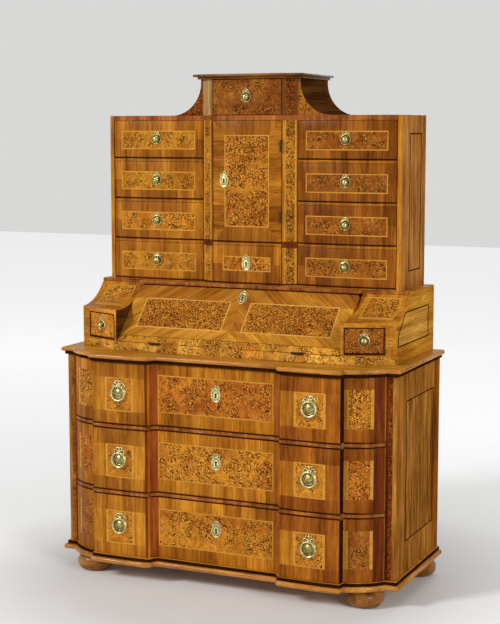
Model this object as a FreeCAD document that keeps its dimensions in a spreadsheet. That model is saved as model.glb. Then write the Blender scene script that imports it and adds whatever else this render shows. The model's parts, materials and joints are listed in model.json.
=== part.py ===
import FreeCAD, Part
import math
import operator
import os
import Sketcher
from types import SimpleNamespace

# Driving dimensions of the bureau cabinet, in millimetres.
# Depths are counted forwards from the back plane.
SIZES = {
    # Bun feet
    "foot_height": 62,
    "foot_radius": 66,
    "foot_pad_radius": 45,
    "foot_neck_radius": 40,
    "front_foot_inset": 106,
    "front_foot_setback": 103,
    "back_foot_inset": 50,
    "back_foot_depth": 68,
    # Chest of drawers and its serpentine front
    "base_thickness": 31,
    "chest_height": 699,
    "chest_half_width": 632,
    "chest_depth": 583,
    "side_setback": 102,
    "post_width": 36,
    "corner_width": 124,
    "corner_proud": 9,
    "block_width": 219,
    "block_step": 33,
    "block_bow": 4,
    "cusp_step": 26,
    "cusp_splay": 3,
    "corner_bow": 13,
    "top_thickness": 27,
    "top_nose_thickness": 16,
    "top_nose_round": 7.5,
    "base_nose_thickness": 19,
    "base_nose_round": 8.5,
    "nose_overhang": 18,
    "bed_overhang": 8,
    "ogee_lead": 6,
    "rail_thickness": 20,
    "rail_proud": 2,
    "chest_side_thickness": 22,
    "post_depth": 30,
    "back_thickness": 12,
    # Chest drawers
    "front_thickness": 25,
    "corner_thickness": 30,
    "corner_seat": 26,
    "box_inset": 6,
    "drawer_side_thickness": 12,
    "drawer_side_height": 165,
    "drawer_bottom_thickness": 8,
    "drawer_bottom_rise": 5,
    "drawer_rear_gap": 8,
    "drawer_reveal": 1,
    "running_gap": 0.3,
    # Writing section
    "plinth_height": 30,
    "desk_height": 192,
    "desk_inset": 26,
    "desk_setback": 102,
    "desk_cant": 69,
    "desk_top_depth": 300,
    "desk_top_thickness": 12,
    "desk_side_thickness": 12,
    "cheek_thickness": 10,
    "cheek_hollow": 27,
    "side_hollow": 19,
    "box_front_height": 113,
    "box_lip_height": 16,
    "box_lip_thickness": 14,
    "box_top_thickness": 10,
    "box_floor_thickness": 8,
    "box_stile_width": 26,
    "box_guide_height": 15,
    "rack_depth": 185,
    "rack_board_thickness": 8,
    # Slanted fall
    "box_width": 176,
    "fall_side_gap": 2,
    "fall_top_gap": 3,
    "fall_thickness": 18,
    # Upper cabinet
    "upper_height": 602,
    "upper_inset": 38,
    "upper_depth": 264,
    "upper_side_thickness": 18,
    "upper_floor_thickness": 9,
    "upper_top_thickness": 18,
    "upper_rail_thickness": 15,
    "column_bow": 13,
    "bay_half_width": 133,
    "bay_proud": 28,
    "bay_bow": 5,
    "pilaster_width": 52,
    "pilaster_thickness": 20,
    "partition_thickness": 12,
    "guide_height": 15,
    "door_thickness": 20,
    "door_shelf_setback": 60,
    # Small drawers
    "small_front_thickness": 16,
    "small_side_thickness": 8,
    "small_bottom_thickness": 5,
    "small_bottom_rise": 3,
    "small_side_drop": 18,
    # Pediment and cornice
    "pediment_height": 128,
    "pediment_wall_thickness": 14,
    "cove_width": 125,
    "cove_top_width": 8,
    "cove_hollow": 38,
    "cornice_thickness": 17,
    "cornice_nose_thickness": 9,
    "cornice_nose_round": 4,
    "cornice_overhang": 22,
    "cornice_side_overhang": 30,
    "cornice_facet_run": 8,
    "cornice_bed_step": 13,
    # Hinges
    "hinge_radius": 4,
    "hinge_pin_radius": 1.6,
    "hinge_pin_gap": 0.05,
    "hinge_knuckle_length": 14,
    "hinge_leaf_thickness": 1,
    "hinge_leaf_width": 16,
    "fall_hinge_inset": 155,
    "door_hinge_offset": 124,
    # Ring handles of the chest
    "seat_gap": 0.1,
    "plate_thickness": 2,
    "plate_radius": 27,
    "crown_half_width": 25,
    "crown_height": 28,
    "crown_seat": 6,
    "dome_radius": 17,
    "dome_height": 6,
    "ring_radius": 26,
    "ring_wire_radius": 2.6,
    "ring_standoff": 6.5,
    "post_radius": 5,
    "post_bore_gap": 0.65,
    # Crowned escutcheons and locks
    "escutcheon_half_width": 18,
    "escutcheon_half_height": 25,
    "escutcheon_crown_half_width": 16,
    "escutcheon_crown_height": 17,
    "small_escutcheon_half_width": 13,
    "small_escutcheon_half_height": 18,
    "small_escutcheon_crown_half_width": 12,
    "small_escutcheon_crown_height": 13,
    "escutcheon_lift": 12,
    "door_escutcheon_inset": 45,
    "fall_escutcheon_drop": 42,
    "lock_half_width": 30,
    "lock_height": 44,
    "lock_thickness": 9,
    "fall_lock_drop": 10,
    # Knobs of the small drawers
    "rosette_radius": 19,
    "rosette_thickness": 2.5,
    "rosette_rim_width": 3,
    "rosette_rim_height": 2,
    "knob_radius": 10,
    "knob_neck_radius": 5,
    "knob_neck_length": 8,
    "knob_dome_height": 7,
    "knob_crown_half_width": 13,
    "knob_crown_height": 14,
}

DRAWER_COUNT = 3
COLUMN_COUNT = 4
# Sagitta of a quarter circle as a share of its radius, of a quarter oval as a share of its half width.
QUARTER_SAG_SHARE = 1 - math.sqrt(0.5)
OVAL_SAG_SHARE = 0.36
# Sagitta of a dome's curve as a share of its slope.
DOME_SAG_SHARE = 0.14
# Where the corner moulding turns, as shares of the overhang.
CUSP_SHARE = 0.4
CORNER_SHARE = 0.5
# A crown in outline: shares of its half width, then of its height.
CROWN_SHARES = [(-0.8, 0), (0.8, 0), (1, 0.7), (0.5, 0.55), (0, 1), (-0.5, 0.55), (-1, 0.7)]
# Dividers of the writing interior, as shares of its half width.
DIVIDER_SHARES = (-0.5, 0, 0.5)
SIDES = {"left": -1, "right": 1}
# Two edges this near are one.
TOUCH = 0.001

doc = FreeCAD.newDocument("BureauCabinet")
sheet = doc.addObject("Spreadsheet::Sheet", "Sizes")
for row, (name, number) in enumerate(SIZES.items(), start=1):
    sheet.set(f"A{row}", name)
    sheet.set(f"B{row}", str(number))
    sheet.setAlias(f"B{row}", name)
doc.recompute()


class Length:
    """A length held as a number and as the sum of sheet cells that gives it."""

    def __init__(self, number, text):
        self.number = number
        self.text = text

    def __add__(self, other):
        return combined(self, "+", other)

    def __radd__(self, other):
        return combined(other, "+", self)

    def __sub__(self, other):
        return combined(self, "-", other)

    def __rsub__(self, other):
        return combined(other, "-", self)

    def __mul__(self, other):
        return combined(self, "*", other)

    def __rmul__(self, other):
        return combined(other, "*", self)

    def __truediv__(self, other):
        return combined(self, "/", other)

    def __neg__(self):
        return combined(0, "-", self)


SIGNS = {"+": operator.add, "-": operator.sub, "*": operator.mul, "/": operator.truediv}


def as_length(term):
    return term if isinstance(term, Length) else Length(term, str(term))


def combined(first, sign, second):
    first = as_length(first)
    second = as_length(second)
    return Length(SIGNS[sign](first.number, second.number), f"({first.text} {sign} {second.text})")


def root(length):
    return Length(math.sqrt(length.number), f"sqrt({length.text})")


def bind(item, path, length):
    item.setExpression(path, as_length(length).text)


s = SimpleNamespace(**{name: Length(number, f"Sizes.{name}") for name, number in SIZES.items()})
nodes = {}


def single(label, item):
    """Make one solid a sub-part of its own."""
    item.Label = label
    nodes[label] = item
    return item


def group(label, pieces):
    """Make a sub-part from several separate solids."""
    compound = doc.addObject("Part::Compound", f"{label}_group")
    compound.Links = pieces
    return single(label, compound)


def board(name, x, y, z):
    """A straight board between two x, two y and two z values."""
    box = doc.addObject("Part::Box", name)
    for axis, side, (low, high) in (("x", "Length", x), ("y", "Width", y), ("z", "Height", z)):
        bind(box, side, high - low)
        bind(box, f"Placement.Base.{axis}", low)
    return box


def rod(name, axis, radius, length, place):
    """A round rod that starts at a place and runs along +X, -Y or +Z."""
    turns = {"x": ((0, 1, 0), 90), "y": ((1, 0, 0), 90), "z": ((0, 0, 1), 0)}
    cylinder = doc.addObject("Part::Cylinder", name)
    bind(cylinder, "Radius", radius)
    bind(cylinder, "Height", length)
    direction, angle = turns[axis]
    cylinder.Placement.Rotation = FreeCAD.Rotation(FreeCAD.Vector(*direction), angle)
    for letter, value in zip("xyz", place):
        bind(cylinder, f"Placement.Base.{letter}", value)
    return cylinder


def cut(name, base, tool):
    result = doc.addObject("Part::Cut", name)
    result.Base = base
    result.Tool = tool
    return result


def fuse(name, pieces):
    result = doc.addObject("Part::MultiFuse", name)
    result.Shapes = pieces
    return result


def new_body(name, place=(0, 0, 0)):
    body = doc.addObject("PartDesign::Body", name)
    for letter, value in zip("xyz", place):
        bind(body, f"Placement.Base.{letter}", value)
    return body


def turned(item, axis, slope):
    """Turn an item about an axis through its own origin by the angle of a slope."""
    angle = math.degrees(math.atan(slope.number))
    item.Placement.Rotation = FreeCAD.Rotation(FreeCAD.Vector(*axis), angle)


def draw_edge(sketch, here, there, sag):
    """Add a line, or an arc that bulges to the right of its way by sag; give its start and end."""
    start = FreeCAD.Vector(as_length(here[0]).number, as_length(here[1]).number)
    end = FreeCAD.Vector(as_length(there[0]).number, as_length(there[1]).number)
    if sag is None:
        edge = sketch.addGeometry(Part.LineSegment(start, end), False)
        return (edge, 1), (edge, 2)
    chord = end - start
    normal = FreeCAD.Vector(chord.y, -chord.x).normalize()
    middle = (start + end) / 2 + normal * sag.number
    run = as_length(there[0]) - here[0]
    rise = as_length(there[1]) - here[1]
    radius = ((run * run + rise * rise) / 4 + sag * sag) / (2 * sag)
    if sag.number > 0:
        edge = sketch.addGeometry(Part.Arc(start, middle, end), False)
        ends = (edge, 1), (edge, 2)
    else:
        radius = -radius
        edge = sketch.addGeometry(Part.Arc(end, middle, start), False)
        ends = (edge, 2), (edge, 1)
    index = sketch.addConstraint(Sketcher.Constraint("Radius", edge, radius.number))
    bind(sketch, f"Constraints[{index}]", radius)
    return ends


def draw(body, role, outline, offset=None):
    """Sketch a closed outline; a corner's third value is the sag of the edge that leaves it."""
    sketch = body.newObject("Sketcher::SketchObject", f"{body.Name}_outline")
    plane = [item for item in body.Origin.OriginFeatures if item.Role == role][0]
    sketch.AttachmentSupport = [(plane, "")]
    sketch.MapMode = "FlatFace"
    if offset is not None:
        bind(sketch, "AttachmentOffset.Base.z", offset)
    edges = []
    for index, corner in enumerate(outline):
        following = outline[(index + 1) % len(outline)]
        sag = corner[2] if len(corner) > 2 else None
        edges.append(draw_edge(sketch, corner, following, sag))
    for index, corner in enumerate(outline):
        start = edges[index][0]
        last_end = edges[index - 1][1]
        sketch.addConstraint(Sketcher.Constraint("Coincident", *last_end, *start))
        for kind, axis, value in (("DistanceX", -2, corner[0]), ("DistanceY", -1, corner[1])):
            value = as_length(value)
            if value.text == "0":
                sketch.addConstraint(Sketcher.Constraint("PointOnObject", *start, axis))
                continue
            place = sketch.addConstraint(Sketcher.Constraint(kind, -1, 1, *start, value.number))
            bind(sketch, f"Constraints[{place}]", value)
    return sketch


def pad(body, sketch, length):
    feature = body.newObject("PartDesign::Pad", f"{body.Name}_pad")
    feature.Profile = sketch
    bind(feature, "Length", length)
    return feature


def prism(name, role, outline, place, length):
    """A straight prism; XY runs up, YZ runs to +X and XZ runs forwards to -Y."""
    body = new_body(name, place)
    pad(body, draw(body, role, outline), length)
    return body


def slab(name, outline, low, high):
    """A board with a shaped plan between two heights."""
    return prism(name, "XY_Plane", outline, (0, 0, low), high - low)


def turn(body, sketch):
    """Turn a half section about the sketch's upright axis."""
    feature = body.newObject("PartDesign::Revolution", f"{body.Name}_turning")
    feature.Profile = sketch
    feature.ReferenceAxis = (sketch, ["V_Axis"])
    feature.Angle = 360
    return feature


def mirrored(points):
    """The other half of a plan: the same corners with x reversed, in the opposite order."""
    flipped = []
    for index in range(len(points) - 1, -1, -1):
        x, y = points[index][:2]
        sag = points[index - 1][2:] if index > 0 else ()
        flipped.append((-x, y, *sag))
    return flipped


def ordered(low, high):
    """Two values with the smaller one first."""
    return (low, high) if as_length(low).number < as_length(high).number else (high, low)


# Heights from the floor up
base_z = s.foot_height
chest_z = base_z + s.base_thickness
chest_end_z = chest_z + s.chest_height
plinth_z = chest_end_z + s.top_thickness
desk_z = plinth_z + s.plinth_height
desk_end_z = desk_z + s.desk_height
upper_z = desk_end_z + s.desk_top_thickness
upper_end_z = upper_z + s.upper_height
cornice_z = upper_end_z + s.pediment_height

# Planes from the back to the front; the whole depth is centred on the origin
back = (s.chest_depth + s.block_bow + s.nose_overhang) / 2
rear = back - s.back_thickness
block_y = back - s.chest_depth
side_front = block_y + s.side_setback
corner_y = side_front - s.corner_proud
centre_y = block_y + s.block_step
cusp_y = block_y + s.cusp_step
fall_y = block_y + s.desk_setback
desk_side_y = fall_y + s.desk_cant
desk_top_y = back - s.desk_top_depth
upper_y = back - s.upper_depth
bay_y = upper_y - s.bay_proud

# Half widths from the chest inwards
corner_end_x = s.chest_half_width - s.post_width
block_outer_x = corner_end_x - s.corner_width
block_inner_x = block_outer_x - s.block_width
cusp_x = block_outer_x + s.cusp_splay
cove_x = block_inner_x - s.block_step
desk_half_width = s.chest_half_width - s.desk_inset
cheek_x = desk_half_width - s.box_width
fall_half_width = cheek_x - s.fall_side_gap
upper_half_width = desk_half_width - s.upper_inset
pilaster_outer_x = s.bay_half_width + s.pilaster_width
hinge_gap = s.hinge_leaf_thickness + s.running_gap


def bun_feet():
    outline = [
        (0, 0),
        (s.foot_pad_radius, 0, s.foot_radius - (s.foot_pad_radius + s.foot_neck_radius) / 2),
        (s.foot_neck_radius, s.foot_height),
        (0, s.foot_height),
    ]
    places = []
    for sign in SIDES.values():
        front_x = s.chest_half_width - s.front_foot_inset
        back_x = s.chest_half_width - s.back_foot_inset
        places.append((sign * front_x, block_y + s.front_foot_setback))
        places.append((sign * back_x, back - s.back_foot_depth))
    feet = []
    for x, y in places:
        body = new_body(f"bun_foot_{len(feet)}", (x, y, 0))
        turn(body, draw(body, "XZ_Plane", outline))
        feet.append(body)
    group("bun_feet", feet)


def front_line(overhang):
    """Right half of the serpentine front, from the centre to the foot of the canted corner."""
    cove = s.block_step - overhang
    return [
        (cove_x, centre_y - overhang, -(cove * QUARTER_SAG_SHARE)),
        (block_inner_x - overhang, block_y),
        (block_inner_x - overhang, block_y - overhang, s.block_bow),
        (block_outer_x + CUSP_SHARE * overhang, block_y - overhang),
        (cusp_x + CUSP_SHARE * overhang, cusp_y - overhang, s.corner_bow),
    ]


def ogee_line(overhang):
    """The same half with the cove eased into an ogee, as the mouldings run."""
    start = (cove_x, centre_y - overhang)
    end = (block_inner_x + s.ogee_lead, block_y - overhang)
    run = (end[0] - start[0]) / 2
    rise = (start[1] - end[1]) / 2
    chord = root(run * run + rise * rise)
    sag = chord / 2 * rise / (chord + run)
    middle = (start[0] + run, start[1] - rise, sag)
    return [(*start, -sag), middle, (*end, s.block_bow)] + front_line(overhang)[3:]


def moulded_plan(overhang):
    half = ogee_line(overhang) + [
        (corner_end_x + CORNER_SHARE * overhang, side_front - overhang),
        (s.chest_half_width + overhang, side_front - overhang),
        (s.chest_half_width + overhang, back),
    ]
    return half + mirrored(half)


def rounded(body, radius):
    """Round the nose of a moulded board: its upper and lower edges, all but those at the back."""
    doc.recompute()
    base = body.Tip
    chosen = []
    for index, edge in enumerate(base.Shape.Edges, start=1):
        level = edge.BoundBox.ZLength < TOUCH
        at_back = edge.BoundBox.YMin > back.number - TOUCH
        if level and not at_back:
            chosen.append(f"Edge{index}")
    feature = body.newObject("PartDesign::Fillet", f"{body.Name}_nose")
    feature.Base = (base, chosen)
    bind(feature, "Radius", radius)
    return body


# Chest of drawers
inner_x = s.chest_half_width - s.chest_side_thickness
post_back = side_front + s.post_depth
drawer_space = (s.chest_height - (DRAWER_COUNT - 1) * s.rail_thickness) / DRAWER_COUNT
front_back = centre_y + s.front_thickness
corner_back = corner_y + s.corner_thickness
corner_x = corner_end_x - s.drawer_reveal
box_half = corner_end_x - s.box_inset
box_rear = rear - s.drawer_rear_gap
handle_x = (block_inner_x + block_outer_x) / 2


def moulding(label, nose, nose_round, bed):
    """A moulded board of two tiers: a rounded nose, and a narrower square bed against the chest."""
    rolled = slab(f"{label}_nose", moulded_plan(s.nose_overhang), *nose)
    square = slab(f"{label}_bed", moulded_plan(s.bed_overhang), *bed)
    group(label, [rounded(rolled, nose_round), square])


def chest_case():
    nose_z = base_z + s.base_nose_thickness
    moulding("base_moulding", (base_z, nose_z), s.base_nose_round, (nose_z, chest_z))
    nose_z = plinth_z - s.top_nose_thickness
    moulding("chest_top", (nose_z, plinth_z), s.top_nose_round, (chest_end_z, nose_z))
    walls = []
    for side, sign in SIDES.items():
        across = ordered(sign * inner_x, sign * s.chest_half_width)
        walls.append(board(f"chest_panel_{side}", across, (side_front, back), (chest_z, chest_end_z)))
        across = ordered(sign * corner_end_x, sign * inner_x)
        depth = (side_front, post_back)
        walls.append(board(f"chest_post_{side}", across, depth, (chest_z, chest_end_z)))
    group("chest_sides", walls)
    half = front_line(s.rail_proud) + [
        (corner_end_x, corner_y - s.rail_proud),
        (corner_end_x, post_back),
        (inner_x, post_back),
        (inner_x, rear),
    ]
    rails = []
    for index in range(1, DRAWER_COUNT):
        low = chest_z + index * drawer_space + (index - 1) * s.rail_thickness
        rails.append(slab(f"chest_rail_{index}", half + mirrored(half), low, low + s.rail_thickness))
    group("chest_rails", rails)


def block_plan(sign):
    """One handle block: a cove, a gently bowed face and a flank that returns to the corner."""
    half = [
        (cove_x, centre_y, -(s.block_step * QUARTER_SAG_SHARE)),
        (block_inner_x, block_y, s.block_bow),
        (block_outer_x, block_y),
        (cusp_x, cusp_y),
        (cusp_x, front_back),
        (cove_x, front_back),
    ]
    return half if sign > 0 else mirrored(half)


def corner_plan(sign):
    """One canted corner of a drawer front, bowed outside and squared off where the box joins it."""
    half = [
        (cusp_x, cusp_y, s.corner_bow),
        (corner_x, corner_y),
        (corner_x, corner_back),
        (corner_x - s.corner_seat, corner_back),
        (cusp_x, front_back),
    ]
    return half if sign > 0 else mirrored(half)


def crown(body, half_width, height, seat):
    """Stand a small crown on top of a plate."""
    outline = [(x * half_width, seat + z * height) for x, z in CROWN_SHARES]
    pad(body, draw(body, "XZ_Plane", outline), s.plate_thickness)


def oval_plate(name, place, half_width, half_height, crown_half_width, crown_height):
    """A crowned oval escutcheon, its back at the given place."""
    sag = half_width * OVAL_SAG_SHARE
    outline = [
        (0, -half_height, sag),
        (half_width, 0, sag),
        (0, half_height, sag),
        (-half_width, 0, sag),
    ]
    body = prism(name, "XZ_Plane", outline, place, s.plate_thickness)
    crown(body, crown_half_width, crown_height, half_height - s.crown_seat)
    return body


def lock_case(name, x, y, top):
    """A closed lock screwed to the inside of a front."""
    return board(
        name,
        (x - s.lock_half_width, x + s.lock_half_width),
        (y, y + s.lock_thickness),
        (top - s.lock_height, top),
    )


def ring_handle(tag, x, z):
    """A crowned round plate with a dome and a cross-bored post, and the ring that hangs in it."""
    face = block_y - s.block_bow - s.seat_gap
    front = face - s.plate_thickness
    plate = new_body(f"handle_plate_{tag}", (x, face, z))
    foot = s.plate_radius
    quarter = foot * QUARTER_SAG_SHARE
    circle = [(0, -foot, quarter), (foot, 0, quarter), (0, foot, quarter), (-foot, 0, quarter)]
    pad(plate, draw(plate, "XZ_Plane", circle), s.plate_thickness)
    crown(plate, s.crown_half_width, s.crown_height, s.plate_radius - s.crown_seat)
    tip = s.plate_thickness + s.dome_height
    slope = root(s.dome_radius * s.dome_radius + s.dome_height * s.dome_height)
    seat = -s.plate_thickness
    dome = [(0, -tip, slope * DOME_SAG_SHARE), (s.dome_radius, seat), (0, seat)]
    turn(plate, draw(plate, "XY_Plane", dome))
    pivot = z + s.ring_radius
    ring_y = front - s.ring_standoff
    bore = s.ring_wire_radius + s.post_bore_gap
    length = s.ring_standoff + s.post_radius
    stem = rod(f"handle_stem_{tag}", "y", s.post_radius, length, (x, front, pivot))
    drill = rod(f"handle_bore_{tag}", "x", bore, 2 * s.post_radius, (x - s.post_radius, ring_y, pivot))
    post = cut(f"handle_post_{tag}", stem, drill)
    ring = doc.addObject("Part::Torus", f"handle_ring_{tag}")
    bind(ring, "Radius1", s.ring_radius)
    bind(ring, "Radius2", s.ring_wire_radius)
    ring.Placement.Rotation = FreeCAD.Rotation(FreeCAD.Vector(1, 0, 0), 90)
    for letter, value in zip("xyz", (x, ring_y, z)):
        bind(ring, f"Placement.Base.{letter}", value)
    return [plate, post], ring


def chest_drawer(number):
    """One wide drawer; drawers are numbered from the top down."""
    low = chest_z + (DRAWER_COUNT - number) * (drawer_space + s.rail_thickness)
    foot = low + s.drawer_reveal
    head = low + drawer_space - s.drawer_reveal
    tag = f"{number}"
    centre_plan = [(-cove_x, centre_y), (cove_x, centre_y), (cove_x, front_back), (-cove_x, front_back)]
    fronts = [slab(f"front_centre_{tag}", centre_plan, foot, head)]
    for side, sign in SIDES.items():
        fronts.append(slab(f"front_block_{side}_{tag}", block_plan(sign), foot, head))
        fronts.append(slab(f"front_corner_{side}_{tag}", corner_plan(sign), foot, head))
    group(f"chest_drawer_front_{tag}", fronts)

    sill = low + s.running_gap
    rim = sill + s.drawer_side_height
    inside = box_half - s.drawer_side_thickness
    tail = box_rear - s.drawer_side_thickness
    boards = []
    for side, sign in SIDES.items():
        across = ordered(sign * inside, sign * box_half)
        boards.append(board(f"drawer_side_{side}_{tag}", across, (corner_back, box_rear), (sill, rim)))
    boards.append(board(f"drawer_back_{tag}", (-inside, inside), (tail, box_rear), (sill, rim)))
    half = [
        (cusp_x, front_back),
        (corner_x - s.corner_seat, corner_back),
        (inside, corner_back),
        (inside, tail),
    ]
    floor = sill + s.drawer_bottom_rise
    plan = half + mirrored(half)
    boards.append(slab(f"drawer_bottom_{tag}", plan, floor, floor + s.drawer_bottom_thickness))
    group(f"chest_drawer_box_{tag}", boards)

    middle = (foot + head) / 2
    place = (0, centre_y - s.seat_gap, middle + s.escutcheon_lift)
    fittings = [
        oval_plate(
            f"escutcheon_{tag}",
            place,
            s.escutcheon_half_width,
            s.escutcheon_half_height,
            s.escutcheon_crown_half_width,
            s.escutcheon_crown_height,
        ),
        lock_case(f"lock_{tag}", as_length(0), front_back, head),
    ]
    for side, sign in SIDES.items():
        pieces, ring = ring_handle(f"{side}_{tag}", sign * handle_x, middle)
        fittings.extend(pieces)
        single(f"chest_ring_{side}_{tag}", ring)
    group(f"chest_fittings_{tag}", fittings)


# Small drawers
def small_drawer(label, x, y, bow, z, sill):
    """A small drawer: a front between two corners, and a box of thin boards behind it."""
    (x0, x1), (y0, y1), (low, high) = x, y, z
    slope = (y1 - y0) / (x1 - x0)
    depth = s.small_front_thickness
    face = (x0, y0) if bow is None else (x0, y0, bow)
    front = slab(f"{label}_front", [face, (x1, y1), (x1, y1 + depth), (x0, y0 + depth)], low, high)
    left = x0 + s.small_side_thickness
    right = x1 - s.small_side_thickness
    left_y = y0 + depth + slope * s.small_side_thickness
    right_y = y1 + depth - slope * s.small_side_thickness
    rim = high - s.small_side_drop
    tail = box_rear - s.small_side_thickness
    floor = sill + s.small_bottom_rise
    left_start = ordered(left_y, y0 + depth)[1]
    right_start = ordered(right_y, y1 + depth)[1]
    plan = [(left, left_y), (right, right_y), (right, tail), (left, tail)]
    pieces = [
        front,
        board(f"{label}_side_a", (x0, left), (left_start, box_rear), (sill, rim)),
        board(f"{label}_side_b", (right, x1), (right_start, box_rear), (sill, rim)),
        board(f"{label}_back", (left, right), (tail, box_rear), (sill, rim)),
        slab(f"{label}_bottom", plan, floor, floor + s.small_bottom_thickness),
    ]
    group(label, pieces)


def knob(label, x, y, z):
    """A turned rosette with a raised rim, a domed knob and a small crown; its back at a place."""
    plate = s.rosette_thickness
    rim = plate + s.rosette_rim_height
    neck = plate + s.knob_neck_length
    tip = neck + s.knob_dome_height
    slope = root(s.knob_radius * s.knob_radius + s.knob_dome_height * s.knob_dome_height)
    section = [
        (0, -tip, slope * DOME_SAG_SHARE),
        (s.knob_radius, -neck),
        (s.knob_neck_radius, -plate),
        (s.rosette_radius - s.rosette_rim_width, -plate),
        (s.rosette_radius - s.rosette_rim_width, -rim),
        (s.rosette_radius, -rim),
        (s.rosette_radius, 0),
        (0, 0),
    ]
    body = new_body(f"{label}_body", (x, y, z))
    turn(body, draw(body, "XY_Plane", section))
    crown(body, s.knob_crown_half_width, s.knob_crown_height, s.rosette_radius - s.rosette_rim_width)
    return single(label, body)


def small_escutcheon(name, x, y, z):
    return oval_plate(
        name,
        (x, y, z),
        s.small_escutcheon_half_width,
        s.small_escutcheon_half_height,
        s.small_escutcheon_crown_half_width,
        s.small_escutcheon_crown_height,
    )


# Writing section
stall_x = cheek_x + s.cheek_thickness
desk_inner_x = desk_half_width - s.desk_side_thickness
stile_x = desk_inner_x - s.box_stile_width
box_front_z = desk_z + s.box_front_height
lip_z = box_front_z - s.box_lip_height
stall_z = desk_z + s.box_floor_thickness
cant_slope = (desk_side_y - fall_y) / (desk_half_width - cheek_x)
hollow_slope = (s.side_hollow - s.cheek_hollow) / (desk_half_width - cheek_x)


def cant_y(x):
    """Front of a side box at a distance from the middle."""
    return fall_y + cant_slope * (x - cheek_x)


def hollow_at(x):
    """Sag of the hollow top at a distance from the middle."""
    return s.cheek_hollow + hollow_slope * (x - cheek_x)


def wall_section(x, end):
    """A cheek or outer side: upright front, hollow sweep up to the cabinet above, square back."""
    return [
        (cant_y(x), desk_z),
        (end, desk_z),
        (end, desk_end_z),
        (upper_y, desk_end_z, -hollow_at(x)),
        (cant_y(x), box_front_z),
    ]


def top_section(x):
    """The hollow top with the lip that closes the front above the drawer."""
    behind = cant_y(x) + s.box_lip_thickness
    return [
        (cant_y(x), lip_z),
        (behind, lip_z),
        (behind, box_front_z - s.box_top_thickness, hollow_at(x)),
        (upper_y, desk_end_z - s.box_top_thickness),
        (upper_y, desk_end_z, -hollow_at(x)),
        (cant_y(x), box_front_z),
    ]


def ruled(name, sign, near, far, near_section, far_section):
    """A piece ruled between two upright sections at two distances from the middle."""
    body = new_body(name)
    first = draw(body, "YZ_Plane", near_section, sign * near)
    second = draw(body, "YZ_Plane", far_section, sign * far)
    feature = body.newObject("PartDesign::AdditiveLoft", f"{name}_loft")
    feature.Profile = first
    feature.Sections = [second]
    feature.Ruled = True
    return body


def sided(points, sign):
    """A plan for the right side, or its mirror image for the left."""
    return points if sign > 0 else mirrored(points)


def desk_case():
    half = [(cheek_x, fall_y), (desk_half_width, desk_side_y), (desk_half_width, back)]
    single("desk_plinth", slab("plinth_board", half + mirrored(half), plinth_z, desk_z))
    for side, sign in SIDES.items():
        cheek = ruled(
            f"cheek_{side}",
            sign,
            cheek_x,
            stall_x,
            wall_section(cheek_x, rear),
            wall_section(stall_x, rear),
        )
        outer = ruled(
            f"desk_side_{side}",
            sign,
            desk_inner_x,
            desk_half_width,
            wall_section(desk_inner_x, back),
            wall_section(desk_half_width, back),
        )
        top = ruled(
            f"hollow_top_{side}",
            sign,
            stall_x,
            desk_inner_x,
            top_section(stall_x),
            top_section(desk_inner_x),
        )
        plan = [
            (stall_x, cant_y(stall_x)),
            (desk_inner_x, cant_y(desk_inner_x)),
            (desk_inner_x, rear),
            (stall_x, rear),
        ]
        floor = slab(f"stall_floor_{side}", sided(plan, sign), desk_z, stall_z)
        plan = [
            (stile_x, cant_y(stile_x)),
            (desk_inner_x, cant_y(desk_inner_x)),
            (desk_inner_x, cant_y(desk_inner_x) + s.box_lip_thickness),
            (stile_x, cant_y(stile_x) + s.box_lip_thickness),
        ]
        stile = slab(f"stile_{side}", sided(plan, sign), stall_z, lip_z)
        guide = board(
            f"stall_guide_{side}",
            ordered(sign * stile_x, sign * desk_inner_x),
            (cant_y(desk_inner_x) + s.box_lip_thickness, rear),
            (stall_z, stall_z + s.box_guide_height),
        )
        group(f"desk_box_{side}", [cheek, outer, top, floor, stile, guide])
    half = [
        (cheek_x, desk_top_y),
        (cheek_x, upper_y),
        (desk_half_width, upper_y),
        (desk_half_width, back),
    ]
    single("desk_top", slab("desk_top_board", half + mirrored(half), desk_end_z, upper_z))


def desk_interior():
    """A plain writing interior: a long shelf with pigeonholes over it."""
    rack_y = rear - s.rack_depth
    shelf_z = (desk_z + desk_end_z - s.rack_board_thickness) / 2
    shelf_end_z = shelf_z + s.rack_board_thickness
    pieces = [board("rack_shelf", (-cheek_x, cheek_x), (rack_y, rear), (shelf_z, shelf_end_z))]
    for share in DIVIDER_SHARES:
        low_x = share * cheek_x - s.rack_board_thickness / 2
        across = (low_x, low_x + s.rack_board_thickness)
        height = (shelf_end_z, desk_end_z)
        pieces.append(board(f"rack_divider_{len(pieces)}", across, (rack_y, rear), height))
    group("writing_interior", pieces)


def desk_drawers():
    for side, sign in SIDES.items():
        near = stall_x + s.drawer_reveal
        far = stile_x - s.drawer_reveal
        x = ordered(sign * near, sign * far)
        y = (cant_y(near), cant_y(far)) if sign > 0 else (cant_y(far), cant_y(near))
        z = (stall_z + s.drawer_reveal, lip_z - s.drawer_reveal)
        small_drawer(f"desk_drawer_{side}", x, y, None, z, stall_z + s.running_gap)
        middle = (near + far) / 2
        seat = cant_y(middle) - s.seat_gap
        pull = knob(f"desk_knob_{side}", sign * middle, seat, (z[0] + z[1]) / 2)
        turned(pull, (0, 0, 1), sign * cant_slope)


# Slanted fall
fall_low = desk_z + hinge_gap
fall_high = desk_end_z - s.fall_top_gap
fall_run = desk_top_y - fall_y
fall_rise = fall_high - fall_low
fall_length = root(fall_run * fall_run + fall_rise * fall_rise)


def on_fall(climb, depth):
    """A point of the fall's section: distance up its face from the lower edge, and depth into it."""
    y = fall_y + climb * fall_run / fall_length + depth * fall_rise / fall_length
    z = fall_low + climb * fall_rise / fall_length - depth * fall_run / fall_length
    return y, z


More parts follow.
